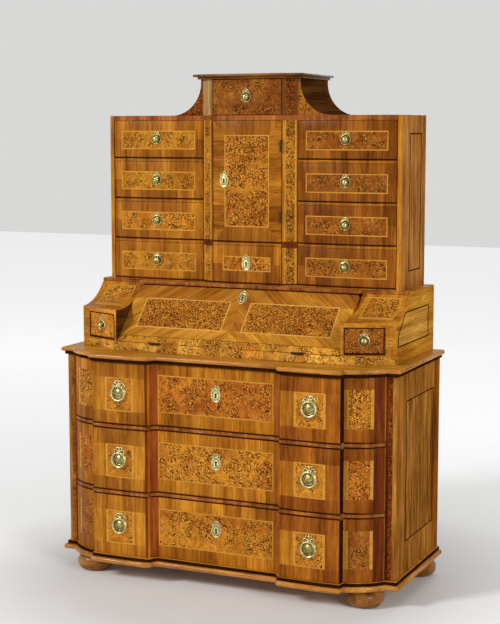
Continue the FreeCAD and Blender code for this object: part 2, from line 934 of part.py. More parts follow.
def fall():
    """The fall with its escutcheon, lock and the loose halves of its hinges."""
    outline = [
        (fall_y, fall_low),
        (fall_y + s.fall_thickness * fall_length / fall_rise, fall_low),
        on_fall(fall_length, s.fall_thickness),
        (desk_top_y, fall_high),
    ]
    panel = prism("fall_board", "YZ_Plane", outline, (-fall_half_width, 0, 0), 2 * fall_half_width)
    single("fall_panel", panel)
    seat = on_fall(fall_length - s.fall_escutcheon_drop, -s.seat_gap)
    plate = small_escutcheon("fall_escutcheon", 0, *seat)
    seat = on_fall(fall_length - s.fall_lock_drop - s.lock_height, s.fall_thickness)
    lock = lock_case("fall_lock", as_length(0), seat[0], seat[1] + s.lock_height)
    for item in (plate, lock):
        turned(item, (1, 0, 0), -(fall_run / fall_rise))
    fittings = [plate, lock]
    axis_y = fall_y - s.hinge_radius - s.running_gap
    seats = {
        "fixed": (desk_z, desk_z + s.hinge_leaf_thickness),
        "loose": (fall_low - s.hinge_leaf_thickness, fall_low),
    }
    fixed = []
    for side, sign in SIDES.items():
        place = (sign * (cheek_x - s.fall_hinge_inset), axis_y, desk_z + hinge_gap / 2)
        leaf, loose = hinge(f"fall_hinge_{side}", "x", place, fall_y + s.hinge_leaf_width, seats)
        fixed.append(leaf)
        fittings.append(loose)
    group("fall_fittings", fittings)
    return fixed


def hinge(tag, axis, place, leaf_y, seats):
    """A butt hinge: two fixed knuckles on a pin with their leaf tabs, one loose knuckle with its own."""
    along = "xyz".index(axis)
    across = 2 - along
    length = s.hinge_knuckle_length
    step = length + s.running_gap
    first = list(place)
    first[along] = place[along] - step - length / 2
    fixed = [rod(f"{tag}_pin", axis, s.hinge_pin_radius, 2 * step + length, first)]
    loose = None
    for part, number in (("low", 0), ("mid", 1), ("high", 2)):
        low = list(first)
        low[along] = first[along] + number * step
        spans = [None, (place[1], leaf_y), None]
        spans[along] = (low[along], low[along] + length)
        spans[across] = seats["loose"] if part == "mid" else seats["fixed"]
        knuckle = rod(f"{tag}_knuckle_{part}", axis, s.hinge_radius, length, low)
        tab = board(f"{tag}_leaf_{part}", *spans)
        if part == "mid":
            drill = rod(f"{tag}_bore", axis, s.hinge_pin_radius + s.hinge_pin_gap, length, low)
            loose = cut(f"{tag}_loose", fuse(f"{tag}_blank", [knuckle, tab]), drill)
        else:
            fixed.extend([knuckle, tab])
    return fuse(f"{tag}_fixed", fixed), loose


# Upper cabinet
column_x = upper_half_width - s.upper_side_thickness
pilaster_x = s.bay_half_width + hinge_gap
pilaster_back = upper_y + s.pilaster_thickness
partition_x = pilaster_outer_x - s.partition_thickness
floor_z = upper_z + s.upper_floor_thickness
ceiling_z = upper_end_z - s.upper_top_thickness
column_space = (ceiling_z - floor_z - (COLUMN_COUNT - 1) * s.upper_rail_thickness) / COLUMN_COUNT
door_sill_z = floor_z + column_space
door_z = door_sill_z + s.upper_rail_thickness


def upper_plan():
    """Plan of the cabinet's floor and ceiling: bowed columns, canted pilasters and a bowed bay."""
    half = [
        (s.bay_half_width, bay_y),
        (pilaster_outer_x, upper_y, s.column_bow),
        (column_x, upper_y),
        (column_x, rear),
    ]
    plan = half + mirrored(half)
    plan[-1] = (*plan[-1][:2], s.bay_bow)
    return plan


def upper_case():
    sides = []
    for side, sign in SIDES.items():
        across = ordered(sign * column_x, sign * upper_half_width)
        sides.append(board(f"upper_side_{side}", across, (upper_y, back), (upper_z, upper_end_z)))
    group("upper_sides", sides)
    rails = [
        slab("upper_floor", upper_plan(), upper_z, floor_z),
        slab("upper_ceiling", upper_plan(), ceiling_z, upper_end_z),
    ]
    for side, sign in SIDES.items():
        half = [
            (pilaster_outer_x, upper_y, s.column_bow),
            (column_x, upper_y),
            (column_x, rear),
            (pilaster_outer_x, rear),
        ]
        for index in range(1, COLUMN_COUNT):
            low = floor_z + index * column_space + (index - 1) * s.upper_rail_thickness
            plan = sided(half, sign)
            rails.append(slab(f"column_rail_{side}_{index}", plan, low, low + s.upper_rail_thickness))
    half = [
        (pilaster_x, bay_y),
        (pilaster_x, pilaster_back),
        (partition_x, pilaster_back),
        (partition_x, rear),
    ]
    plan = half + mirrored(half)
    plan[-1] = (*plan[-1][:2], s.bay_bow)
    rails.append(slab("door_sill", plan, door_sill_z, door_z))
    shelf_z = (door_z + ceiling_z) / 2
    shelf_y = bay_y + s.door_thickness + s.door_shelf_setback
    shelf = (shelf_z, shelf_z + s.partition_thickness)
    rails.append(board("door_shelf", (-partition_x, partition_x), (shelf_y, rear), shelf))
    group("upper_shelves", rails)
    uprights = []
    for side, sign in SIDES.items():
        across = ordered(sign * partition_x, sign * pilaster_outer_x)
        uprights.append(board(f"partition_{side}", across, (pilaster_back, rear), (floor_z, ceiling_z)))
        uprights.append(slab(f"pilaster_{side}", sided(pilaster_plan(), sign), floor_z, ceiling_z))
        across = ordered(sign * pilaster_x, sign * partition_x)
        height = (floor_z, floor_z + s.guide_height)
        uprights.append(board(f"bay_guide_{side}", across, (pilaster_back, rear), height))
    group("upper_partitions", uprights)


def pilaster_plan():
    return [
        (pilaster_x, bay_y),
        (pilaster_outer_x, upper_y),
        (pilaster_outer_x, pilaster_back),
        (pilaster_x, pilaster_back),
    ]


def upper_drawers():
    near = pilaster_outer_x + s.drawer_reveal
    far = column_x - s.drawer_reveal
    middle = (near + far) / 2
    for side, sign in SIDES.items():
        for number in range(1, COLUMN_COUNT + 1):
            low = floor_z + (COLUMN_COUNT - number) * (column_space + s.upper_rail_thickness)
            z = (low + s.drawer_reveal, low + column_space - s.drawer_reveal)
            x = ordered(sign * near, sign * far)
            y = (upper_y, upper_y)
            sill = low + s.running_gap
            small_drawer(f"column_drawer_{side}_{number}", x, y, s.column_bow, z, sill)
            face = upper_y - s.column_bow - s.seat_gap
            knob(f"column_knob_{side}_{number}", sign * middle, face, (z[0] + z[1]) / 2)
    half = s.bay_half_width
    z = (floor_z + s.drawer_reveal, door_sill_z - s.drawer_reveal)
    small_drawer("bay_drawer", (-half, half), (bay_y, bay_y), s.bay_bow, z, floor_z + s.running_gap)
    face = bay_y - s.bay_bow - s.seat_gap
    plate = small_escutcheon("bay_escutcheon", 0, face, (z[0] + z[1]) / 2)
    lock = lock_case("bay_lock", as_length(0), bay_y + s.small_front_thickness, z[1])
    group("bay_drawer_fittings", [plate, lock])


def door():
    """The door, its escutcheon and lock, and the loose halves of its hinges."""
    half = s.bay_half_width
    low = door_z + s.drawer_reveal
    high = ceiling_z - s.drawer_reveal
    inside = bay_y + s.door_thickness
    edge = s.drawer_reveal - half
    plan = [(edge, bay_y, s.bay_bow), (half, bay_y), (half, inside), (edge, inside)]
    single("door_panel", slab("door_board", plan, low, high))
    middle = (low + high) / 2
    reach = (half - edge) / 2
    lock_x = s.door_escutcheon_inset - half
    aside = lock_x - (half + edge) / 2
    face = bay_y - s.bay_bow * (1 - aside * aside / (reach * reach)) - s.seat_gap
    plate = small_escutcheon("door_escutcheon", lock_x, face, middle)
    turned(plate, (0, 0, 1), 2 * s.bay_bow * aside / (reach * reach))
    lock = lock_case("door_lock", lock_x, inside, middle + s.lock_height / 2)
    fittings = [plate, lock]
    seats = {
        "fixed": (pilaster_x - s.hinge_leaf_thickness, pilaster_x),
        "loose": (half, half + s.hinge_leaf_thickness),
    }
    axis_y = bay_y - s.hinge_radius - s.running_gap
    fixed = []
    for level, sign in (("lower", -1), ("upper", 1)):
        place = (half + hinge_gap / 2, axis_y, middle + sign * s.door_hinge_offset)
        leaf, loose = hinge(f"door_hinge_{level}", "z", place, bay_y + s.hinge_leaf_width, seats)
        fixed.append(leaf)
        fittings.append(loose)
    group("door_fittings", fittings)
    return fixed


# Pediment
def pediment():
    """The case over the bay: pilasters, walls and the hollow shoulders beside them."""
    pieces = []
    shoulder = [
        (pilaster_outer_x, upper_end_z),
        (pilaster_outer_x + s.cove_width, upper_end_z, -s.cove_hollow),
        (pilaster_outer_x + s.cove_top_width, cornice_z),
        (pilaster_outer_x, cornice_z),
    ]
    for side, sign in SIDES.items():
        plan = sided(pilaster_plan(), sign)
        pieces.append(slab(f"pediment_pilaster_{side}", plan, upper_end_z, cornice_z))
        across = ordered(sign * pilaster_x, sign * (pilaster_x + s.pediment_wall_thickness))
        height = (upper_end_z, cornice_z)
        pieces.append(board(f"pediment_wall_{side}", across, (pilaster_back, rear), height))
        outline = sided(shoulder, sign)
        pieces.append(prism(f"shoulder_{side}", "XZ_Plane", outline, (0, back, 0), back - upper_y))
    group("pediment_case", pieces)
    half = s.bay_half_width
    z = (upper_end_z + s.drawer_reveal, cornice_z - s.drawer_reveal)
    sill = upper_end_z + s.running_gap
    small_drawer("pediment_drawer", (-half, half), (bay_y, bay_y), s.bay_bow, z, sill)
    knob("pediment_knob", 0, bay_y - s.bay_bow - s.seat_gap, (z[0] + z[1]) / 2)
    cornice_end_z = cornice_z + s.cornice_thickness
    nose_z = cornice_end_z - s.cornice_nose_thickness
    nose = slab("cornice_nose", cornice_plan(as_length(0)), nose_z, cornice_end_z)
    bed = slab("cornice_bed", cornice_plan(s.cornice_bed_step), cornice_z, nose_z)
    group("cornice", [rounded(nose, s.cornice_nose_round), bed])


def cornice_plan(step):
    """Plan of the cornice, drawn in by a step on its front, facets and sides."""
    half = [
        (s.bay_half_width + s.cornice_facet_run, bay_y - s.cornice_overhang + step),
        (pilaster_outer_x + s.cornice_side_overhang - step, upper_y - s.cornice_overhang + step),
        (pilaster_outer_x + s.cornice_side_overhang - step, back),
    ]
    return half + mirrored(half)


def back_boards():
    spans = {
        "chest": (inner_x, chest_z, chest_end_z),
        "desk": (desk_inner_x, desk_z, desk_end_z),
        "upper": (column_x, upper_z, upper_end_z),
        "pediment": (pilaster_outer_x, upper_end_z, cornice_z),
    }
    pieces = []
    for name, (half, low, high) in spans.items():
        pieces.append(board(f"{name}_back", (-half, half), (rear, back), (low, high)))
    group("back_boards", pieces)


def check_and_write():
    doc.recompute()
    failed = [item.Name for item in doc.Objects if {"Invalid", "Error"} & set(item.State)]
    failed += [label for label, item in nodes.items() if item.Shape.isNull() or not item.Shape.isValid()]
    if failed:
        raise RuntimeError("failed: " + ", ".join(failed))
    os.makedirs("parts", exist_ok=True)
    for label, item in nodes.items():
        item.Shape.exportStep(f"parts/{label}.step")
        print(label, len(item.Shape.Solids))


bun_feet()
chest_case()
for number in range(1, DRAWER_COUNT + 1):
    chest_drawer(number)
desk_case()
desk_interior()
desk_drawers()
fixed_hinges = fall()
upper_case()
upper_drawers()
fixed_hinges += door()
group("fixed_hinges", fixed_hinges)
pediment()
back_boards()
check_and_write()
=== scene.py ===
# %% [markdown]
# # A bureau cabinet in burr walnut
# The imported CAD model is the frame: every piece already has its size, its place and the body it moves
# with. This lesson dresses that frame. It copies the plain solids, rounds their edges, scores the lines of the
# inlay into them, lays a different veneer on every field, and models the brass.

# %% Load the frame
import bpy
import json
import math
from collections import Counter
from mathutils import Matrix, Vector

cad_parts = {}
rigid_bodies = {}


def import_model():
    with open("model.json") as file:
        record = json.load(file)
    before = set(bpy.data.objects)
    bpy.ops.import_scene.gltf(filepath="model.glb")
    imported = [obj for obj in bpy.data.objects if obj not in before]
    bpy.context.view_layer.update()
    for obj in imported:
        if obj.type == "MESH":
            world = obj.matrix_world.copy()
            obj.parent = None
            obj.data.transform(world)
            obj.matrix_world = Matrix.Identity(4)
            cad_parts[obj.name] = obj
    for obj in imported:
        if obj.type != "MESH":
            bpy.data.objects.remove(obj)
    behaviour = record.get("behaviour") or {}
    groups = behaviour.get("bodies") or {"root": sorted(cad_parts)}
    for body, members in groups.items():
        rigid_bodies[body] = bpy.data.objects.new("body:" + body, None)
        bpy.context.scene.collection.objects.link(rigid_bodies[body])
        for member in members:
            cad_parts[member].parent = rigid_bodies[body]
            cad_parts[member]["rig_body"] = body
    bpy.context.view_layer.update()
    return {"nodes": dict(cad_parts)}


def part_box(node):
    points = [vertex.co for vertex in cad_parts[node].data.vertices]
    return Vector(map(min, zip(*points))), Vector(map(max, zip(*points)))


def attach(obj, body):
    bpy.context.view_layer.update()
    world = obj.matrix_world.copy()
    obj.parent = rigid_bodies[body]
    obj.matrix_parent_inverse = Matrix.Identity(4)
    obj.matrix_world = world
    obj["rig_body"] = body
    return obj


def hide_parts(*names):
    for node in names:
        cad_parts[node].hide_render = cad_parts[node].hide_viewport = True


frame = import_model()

MM = 0.001

# %% [markdown]
# ## The camera
# The photograph looks from the right, a little above the writing height, with a long lens. The place and the
# turn come from fitting the corners of the cabinet to the picture, so nothing is shifted.

# %% Camera
bpy.ops.object.camera_add(
    location=(2.162, -4.7565, 1.603),
    rotation=(math.radians(82.95), 0, math.radians(24.27)),
)
camera = bpy.context.object
camera.data.sensor_width = 36
camera.data.lens = 84.85
bpy.context.scene.camera = camera
print("camera:", tuple(round(value, 3) for value in camera.location))

# %% [markdown]
# ## Finishes: the tools
# Every finish is a small network of nodes. A helper adds a node, sets it and wires it in one go, another
# turns a colour as the eye sees it into the linear light Blender works in, and others blend and shade.


# %% Node helpers
def tint(red, green, blue):
    """A colour as the eye sees it, 0 to 255, in linear light."""
    values = []
    for value in (red, green, blue):
        share = value / 255
        values.append(share / 12.92 if share <= 0.04045 else ((share + 0.055) / 1.055) ** 2.4)
    return (*values, 1.0)


def tints(*colours):
    """Several colours at once."""
    return [tint(*colour) for colour in colours]


def put(tree, kind, settings=None, sockets=None):
    """Add a node, set its properties, then set or link its inputs."""
    node = tree.nodes.new("ShaderNode" + kind)
    for key, value in (settings or {}).items():
        setattr(node, key, value)
    for key, value in (sockets or {}).items():
        if isinstance(value, bpy.types.NodeSocket):
            tree.links.new(value, node.inputs[key])
        else:
            node.inputs[key].default_value = value
    return node


def here(tree):
    """The place on the object, which every pattern is drawn on."""
    return put(tree, "TexCoord").outputs["Object"]


def calc(tree, operation, first, second=0.0):
    """One step of arithmetic with one or two values."""
    return put(tree, "Math", {"operation": operation}, {0: first, 1: second}).outputs[0]


def between(tree, value, low, high, start=0.0, end=1.0):
    """Bring a value from one span to another and clamp it there."""
    spans = {"Value": value, "From Min": low, "From Max": high, "To Min": start, "To Max": end}
    return put(tree, "MapRange", None, spans).outputs[0]


def ramp(tree, share, stops):
    """Turn a share into a colour through the stops given."""
    node = put(tree, "ValToRGB", None, {"Fac": share})
    bands = node.color_ramp.elements
    for index, (place, colour) in enumerate(stops):
        band = bands[index] if index < 2 else bands.new(place)
        band.position = place
        band.color = colour
    return node.outputs["Color"]


def noise(tree, vector, scale, detail=3.0, roughness=0.55, distortion=0.0, output="Fac"):
    """A noise pattern, as a share or as a colour."""
    sockets = {
        "Vector": vector,
        "Scale": scale,
        "Detail": detail,
        "Roughness": roughness,
        "Distortion": distortion,
    }
    return put(tree, "TexNoise", None, sockets).outputs[output]


def stretched(tree, vector, scale, turn=(0, 0, 0)):
    """Turn a pattern first and stretch it then, because one Mapping node works the other way round."""
    turned = put(tree, "Mapping", None, {"Vector": vector, "Rotation": turn}).outputs[0]
    return put(tree, "Mapping", None, {"Vector": turned, "Scale": scale}).outputs[0]


def mixed(tree, share, first, second, blend="MIX"):
    """Blend two colours by a share."""
    node = put(tree, "Mix", {"data_type": "RGBA", "blend_type": blend}, {0: share, 6: first, 7: second})
    return node.outputs[2]


def toned(tree, colour, strength, value, *stops):
    """Multiply a colour by factors that a value picks; a stop is a place and a factor for red, green and blue."""
    factors = ramp(tree, value, [(place, (*factor, 1.0)) for place, *factor in stops])
    return mixed(tree, strength, colour, factors, "MULTIPLY")


def start_finish(name, metallic=0.0, gleam=0.045):
    """A new material with its node tree and its shader."""
    finish = bpy.data.materials.new(name)
    finish.use_nodes = True
    shader = finish.node_tree.nodes["Principled BSDF"]
    shader.inputs["Metallic"].default_value = metallic
    shader.inputs["Specular IOR Level"].default_value = gleam
    return finish, finish.node_tree, shader


def end_finish(tree, shader, colour, gloss, relief, depth):
    """Wire the colour, a roughness that a noise varies, and a bump."""
    tree.links.new(colour, shader.inputs["Base Color"])
    wear = noise(tree, here(tree), 32.0, 4.0, 0.6)
    tree.links.new(between(tree, wear, 0.3, 0.7, gloss - 0.08, gloss + 0.12), shader.inputs["Roughness"])
    bump = put(tree, "Bump", None, {"Strength": 0.14, "Distance": depth, "Height": relief})
    tree.links.new(bump.outputs[0], shader.inputs["Normal"])


print("helpers ready")

# %% [markdown]
# ## Floor and light
# A pale floor runs back to a pale wall. The key softbox stands to the front left, a weaker one fills the right
# side, a third lights the back, and a grey sky lifts the shadows. The camera and reflections see a paler wall in
# place of that sky, and a floor that glows more the further it runs, so neither adds light to the wood.


# %% Floor
def seen_by_eye(tree):
    """One for a ray from the camera, straight or by reflection, and nothing for light that falls on a piece."""
    path = put(tree, "LightPath")
    seen = calc(tree, "MAXIMUM", path.outputs["Is Camera Ray"], path.outputs["Is Transmission Ray"])
    return calc(tree, "MAXIMUM", seen, path.outputs["Is Glossy Ray"])


FLOOR_SIZE = 30.0
bpy.ops.mesh.primitive_plane_add(size=FLOOR_SIZE, location=(0, 0, 0))
floor = bpy.context.object
floor.name = "floor"
floor_paint, tree, shader = start_finish("floor_paint")
cloth = noise(tree, here(tree), 1.6, 2.0)
pale = ramp(tree, cloth, [(0.3, (0.8, 0.8, 0.79, 1)), (0.7, (0.83, 0.83, 0.82, 1))])
tree.links.new(pale, shader.inputs["Base Color"])
shader.inputs["Roughness"].default_value = 0.8
shader.inputs["Emission Color"].default_value = (1, 1, 0.99, 1)
away = put(tree, "VectorMath", {"operation": "LENGTH"}, {0: here(tree)}).outputs["Value"]
near = between(tree, away, 0.62, 1.15, 0.02, 0.27)
glow = calc(tree, "ADD", near, between(tree, away, 1.15, 5.5, 0.0, 0.36))
tree.links.new(calc(tree, "MULTIPLY", seen_by_eye(tree), glow), shader.inputs["Emission Strength"])
floor.data.materials.append(floor_paint)
print("floor:", FLOOR_SIZE, "m")

# %% Light
SOFTBOXES = {
    "key": ((-4.8, -6.4, 5.2), 1.9, 480),
    "fill": ((5.6, -3.6, 3.0), 2.2, 185),
    "back": ((0.5, 3.2, 3.4), 2.4, 40),
}
LIGHT_AIM = Vector((0, 0, 0.9))
for name, (place, size, power) in SOFTBOXES.items():
    bpy.ops.object.light_add(type="AREA", location=place)
    lamp = bpy.context.object
    lamp.name = f"softbox_{name}"
    lamp.data.size = size
    lamp.data.energy = power
    aim = LIGHT_AIM - Vector(place)
    lamp.rotation_euler = aim.to_track_quat("-Z", "Y").to_euler()
world = bpy.data.worlds.new("studio")
bpy.context.scene.world = world
world.use_nodes = True
tree = world.node_tree
sky = tree.nodes["Background"]
sky.inputs["Color"].default_value = (0.9, 0.93, 0.96, 1)
sky.inputs["Strength"].default_value = 0.24
wall = put(tree, "Background", None, {"Color": (0.93, 0.93, 0.92, 1), "Strength": 0.74})
either = put(tree, "MixShader", None, {0: seen_by_eye(tree), 1: sky.outputs[0], 2: wall.outputs[0]})
tree.links.new(either.outputs[0], tree.nodes["World Output"].inputs["Surface"])
bpy.context.scene.view_settings.view_transform = "Standard"
print("lights:", ", ".join(SOFTBOXES))

# %% [markdown]
# ## Straight-grained walnut
# The bands, posts and sides are straight walnut. Noise stretched along the grain gives broad streaks, a
# finer one the dark lines, and the finest one the pores. A band is pieced from short lengths, so its tone
# jumps at every joint: a random value per length does that.


# %% Straight walnut
FALL_LOW = (-178.5, 850.3)
FALL_HIGH = (2.5, 1038.0)
FALL_SLANT = math.atan2(FALL_HIGH[0] - FALL_LOW[0], FALL_HIGH[1] - FALL_LOW[1])
TURNS = {
    "level": (0, 0, 0),
    "deep": (0, 0, math.radians(-90)),
    "upright": (0, math.radians(90), 0),
    "rising": (FALL_SLANT, math.radians(40), 0),
    "falling": (FALL_SLANT, math.radians(-40), 0),
}
CHEST_ROWS = (0.0826, 0.11983)
COLUMN_ROWS = (1.054, 0.07375)
JOINT_WIDTH = 0.0011
JOINT_TINT = tint(62, 30, 8)
ROW_SHIFT = 0.37
ROW_SEED = 17.0
STREAK_SCALE = (2.4, 30, 30)
LINE_SCALE = (7, 170, 170)
PORE_SCALE = (26, 620, 620)


def pieced(tree, place, axis, length, rows):
    """A random share for each length of a pieced band, and a thin dark line at every joint."""
    start, pitch = rows
    parts = put(tree, "SeparateXYZ", None, {0: place})
    row = calc(tree, "DIVIDE", calc(tree, "SUBTRACT", parts.outputs[2], start), pitch)
    row = calc(tree, "FLOOR", row)
    count = calc(tree, "DIVIDE", parts.outputs[axis], length)
    count = calc(tree, "ADD", count, calc(tree, "MULTIPLY", row, ROW_SHIFT))
    whole = calc(tree, "FLOOR", count)
    seed = calc(tree, "ADD", whole, calc(tree, "MULTIPLY", row, ROW_SEED))
    chance = put(tree, "TexWhiteNoise", {"noise_dimensions": "1D"}, {"W": seed}).outputs["Value"]
    edge = calc(tree, "LESS_THAN", calc(tree, "SUBTRACT", count, whole), JOINT_WIDTH / length)
    return chance, edge


def piecing(tree, place, colour, joints):
    """Vary a colour from length to length and draw the joints."""
    chance, edge = pieced(tree, place, *joints)
    colour = toned(
        tree, colour, 0.9, chance, (0.0, 0.66, 0.56, 0.48), (1.0, 1.2, 1.16, 1.08), (0.5, 0.94, 0.9, 0.86)
    )
    return mixed(tree, calc(tree, "MULTIPLY", edge, 0.6), colour, JOINT_TINT)


def straight_walnut(name, run, pale, mid, deep, joints=None, gloss=0.3, figure=1.0, flame=0.4, gleam=0.045):
    """Walnut with its grain along one way; joints gives the axis, length and rows of a pieced band."""
    finish, tree, shader = start_finish(name, gleam=gleam)
    place = here(tree)
    broad = stretched(tree, place, STREAK_SCALE, TURNS[run])
    streak = noise(tree, broad, figure, 6.0, 0.66, flame)
    colour = ramp(tree, streak, [(0.3, deep), (0.68, pale), (0.48, mid)])
    narrow = stretched(tree, place, LINE_SCALE, TURNS[run])
    lines = noise(tree, narrow, 1.0, 4.0, 0.7, 0.3)
    colour = toned(
        tree, colour, 0.8, lines, (0.36, 0.6, 0.5, 0.42), (0.62, 1.1, 1.08, 1.04), (0.47, 0.98, 0.97, 0.95)
    )
    fine = stretched(tree, place, PORE_SCALE, TURNS[run])
    pores = noise(tree, fine, 1.0, 2.0, 0.6)
    colour = toned(tree, colour, 0.7, pores, (0.34, 0.6, 0.52, 0.46), (0.48, 1.0, 1.0, 1.0))
    cloud = noise(tree, place, 5.5, 3.0, 0.6)
    colour = toned(tree, colour, 0.75, cloud, (0.34, 0.74, 0.66, 0.6), (0.64, 1.12, 1.1, 1.06))
    if joints:
        colour = piecing(tree, place, colour, joints)
    end_finish(tree, shader, colour, gloss, pores, 0.0006)
    return finish


GOLDEN = tints((216, 152, 50), (188, 120, 32), (140, 78, 14))
YELLOW = tints((232, 174, 66), (204, 140, 44), (154, 94, 22))
STRAW = tints((242, 190, 92), (216, 158, 66), (166, 112, 36))
AMBER = tints((192, 120, 40), (158, 91, 27), (108, 55, 12))
COLUMN = tints((204, 142, 48), (174, 110, 33), (126, 72, 17))
DUSKY = tints((178, 114, 40), (146, 86, 27), (102, 54, 13))
REDDISH = tints((138, 68, 25), (110, 48, 15), (74, 30, 8))
# Lighter cove tints below are painted light: on the shaded part of the left cove, and on the right cove
COVE = tints((190, 100, 40), (158, 76, 27), (112, 50, 15))
LIT = tints((204, 130, 44), (170, 99, 30), (118, 60, 14))
BROWN = tints((208, 148, 66), (152, 96, 38), (88, 50, 18))
DOOR = tints((196, 134, 45), (166, 104, 31), (120, 68, 16))
PAINTED_SHADE_DIM = tints((140, 86, 38), (106, 62, 23), (68, 36, 10))
STILE = tints((206, 146, 66), (170, 110, 45), (112, 66, 24))
PAINTED_SHEEN_TAN = tints((202, 166, 112), (176, 138, 86), (128, 96, 54))
GREYED = tints((214, 154, 86), (184, 124, 60), (132, 82, 34))
RAIL = tints((192, 124, 60), (161, 95, 40), (114, 60, 20))
DARK = tints((124, 80, 38), (94, 58, 25), (60, 35, 13))
NOSE = tints((222, 160, 74), (192, 126, 48), (142, 82, 22))
OLIVE = tints((192, 134, 58), (154, 101, 38), (102, 62, 20))
UMBER = tints((160, 104, 50), (124, 76, 32), (80, 45, 16))
MATT = {"gleam": 0.0}
WALNUT = {
    "upright": ("upright", GOLDEN, {}),
    "level": ("level", GOLDEN, {}),
    "rising": ("rising", YELLOW, {}),
    "falling": ("falling", YELLOW, {}),
    "rising_dusk": ("rising", COLUMN, {}),
    "falling_dusk": ("falling", COLUMN, {}),
    "cove": ("upright", REDDISH, {}),
    "painted_light_cove": ("upright", COVE, {}),
    "lit_cove": ("upright", LIT, {}),
    "side": ("upright", STILE, {"figure": 1.5, "gleam": 0.0}),
    "field": ("upright", BROWN, {"figure": 1.3, "flame": 0.9, "gleam": 0.0}),
    "box_side": ("deep", YELLOW, MATT),
    "box_field": ("deep", STRAW, MATT),
    "grey": ("upright", GREYED, MATT),
    # A paler copy with a painted sheen and a dim copy with painted shade, for the two pediment posts
    "painted_sheen_tan": ("upright", PAINTED_SHEEN_TAN, MATT),
    "dusky": ("upright", PAINTED_SHADE_DIM, {}),
    "dark": ("deep", DARK, MATT),
    "band": ("upright", GOLDEN, {"joints": (0, 0.058, CHEST_ROWS)}),
    "left_band": ("upright", COLUMN, {"joints": (0, 0.056, CHEST_ROWS)}),
    "back_post": ("upright", AMBER, MATT),
    "red_band": ("upright", AMBER, {"joints": (0, 0.056, CHEST_ROWS)}),
    "column_band": ("upright", COLUMN, {"joints": (0, 0.064, COLUMN_ROWS)}),
    "dusky_band": ("upright", DUSKY, {"joints": (0, 0.064, COLUMN_ROWS)}),
    "head_band": ("upright", DOOR, {"joints": (0, 0.064, COLUMN_ROWS)}),
    "stile_band": ("level", DOOR, {"joints": (2, 0.082, CHEST_ROWS)}),
    "box_band": ("level", YELLOW, {"joints": (2, 0.045, CHEST_ROWS)}),
    "rail": ("upright", RAIL, {"joints": (0, 0.041, CHEST_ROWS), "gleam": 0.1}),
    "mould": ("level", YELLOW, {}),
    "nose": ("level", NOSE, {"gloss": 0.2, "gleam": 0.24}),
    "nose_deep": ("deep", NOSE, {"gleam": 0.02}),
    "umber": ("level", UMBER, {"gloss": 0.24, "gleam": 0.12}),
    "foot": ("level", OLIVE, {"gloss": 0.22, "gleam": 0.22}),
}
walnut = {
    key: straight_walnut(f"walnut_{key}", run, *colours, **options)
    for key, (run, colours, options) in WALNUT.items()
}
print("straight finishes:", len(walnut))

# %% [markdown]
# ## Burr walnut
# Burr veneer is cut from growths full of buds: dark eyes and worm-like lines crowded in clouds between swirls of
# golden wood. A warped noise gives the swirls, thin contour lines of another noise the curls, a fine noise the
# worms, and two warped Voronoi patterns the eyes. A large noise decides where they crowd, a random value drops
# some of the eyes, and the widest noise turns whole patches redder or paler.


# %% Burr walnut
WORM_TINT = tint(72, 33, 8)
EYE_TINT = tint(66, 30, 7)
EYES = ((140.0, 0.34, 0.45), (215.0, 0.4, 0.55))


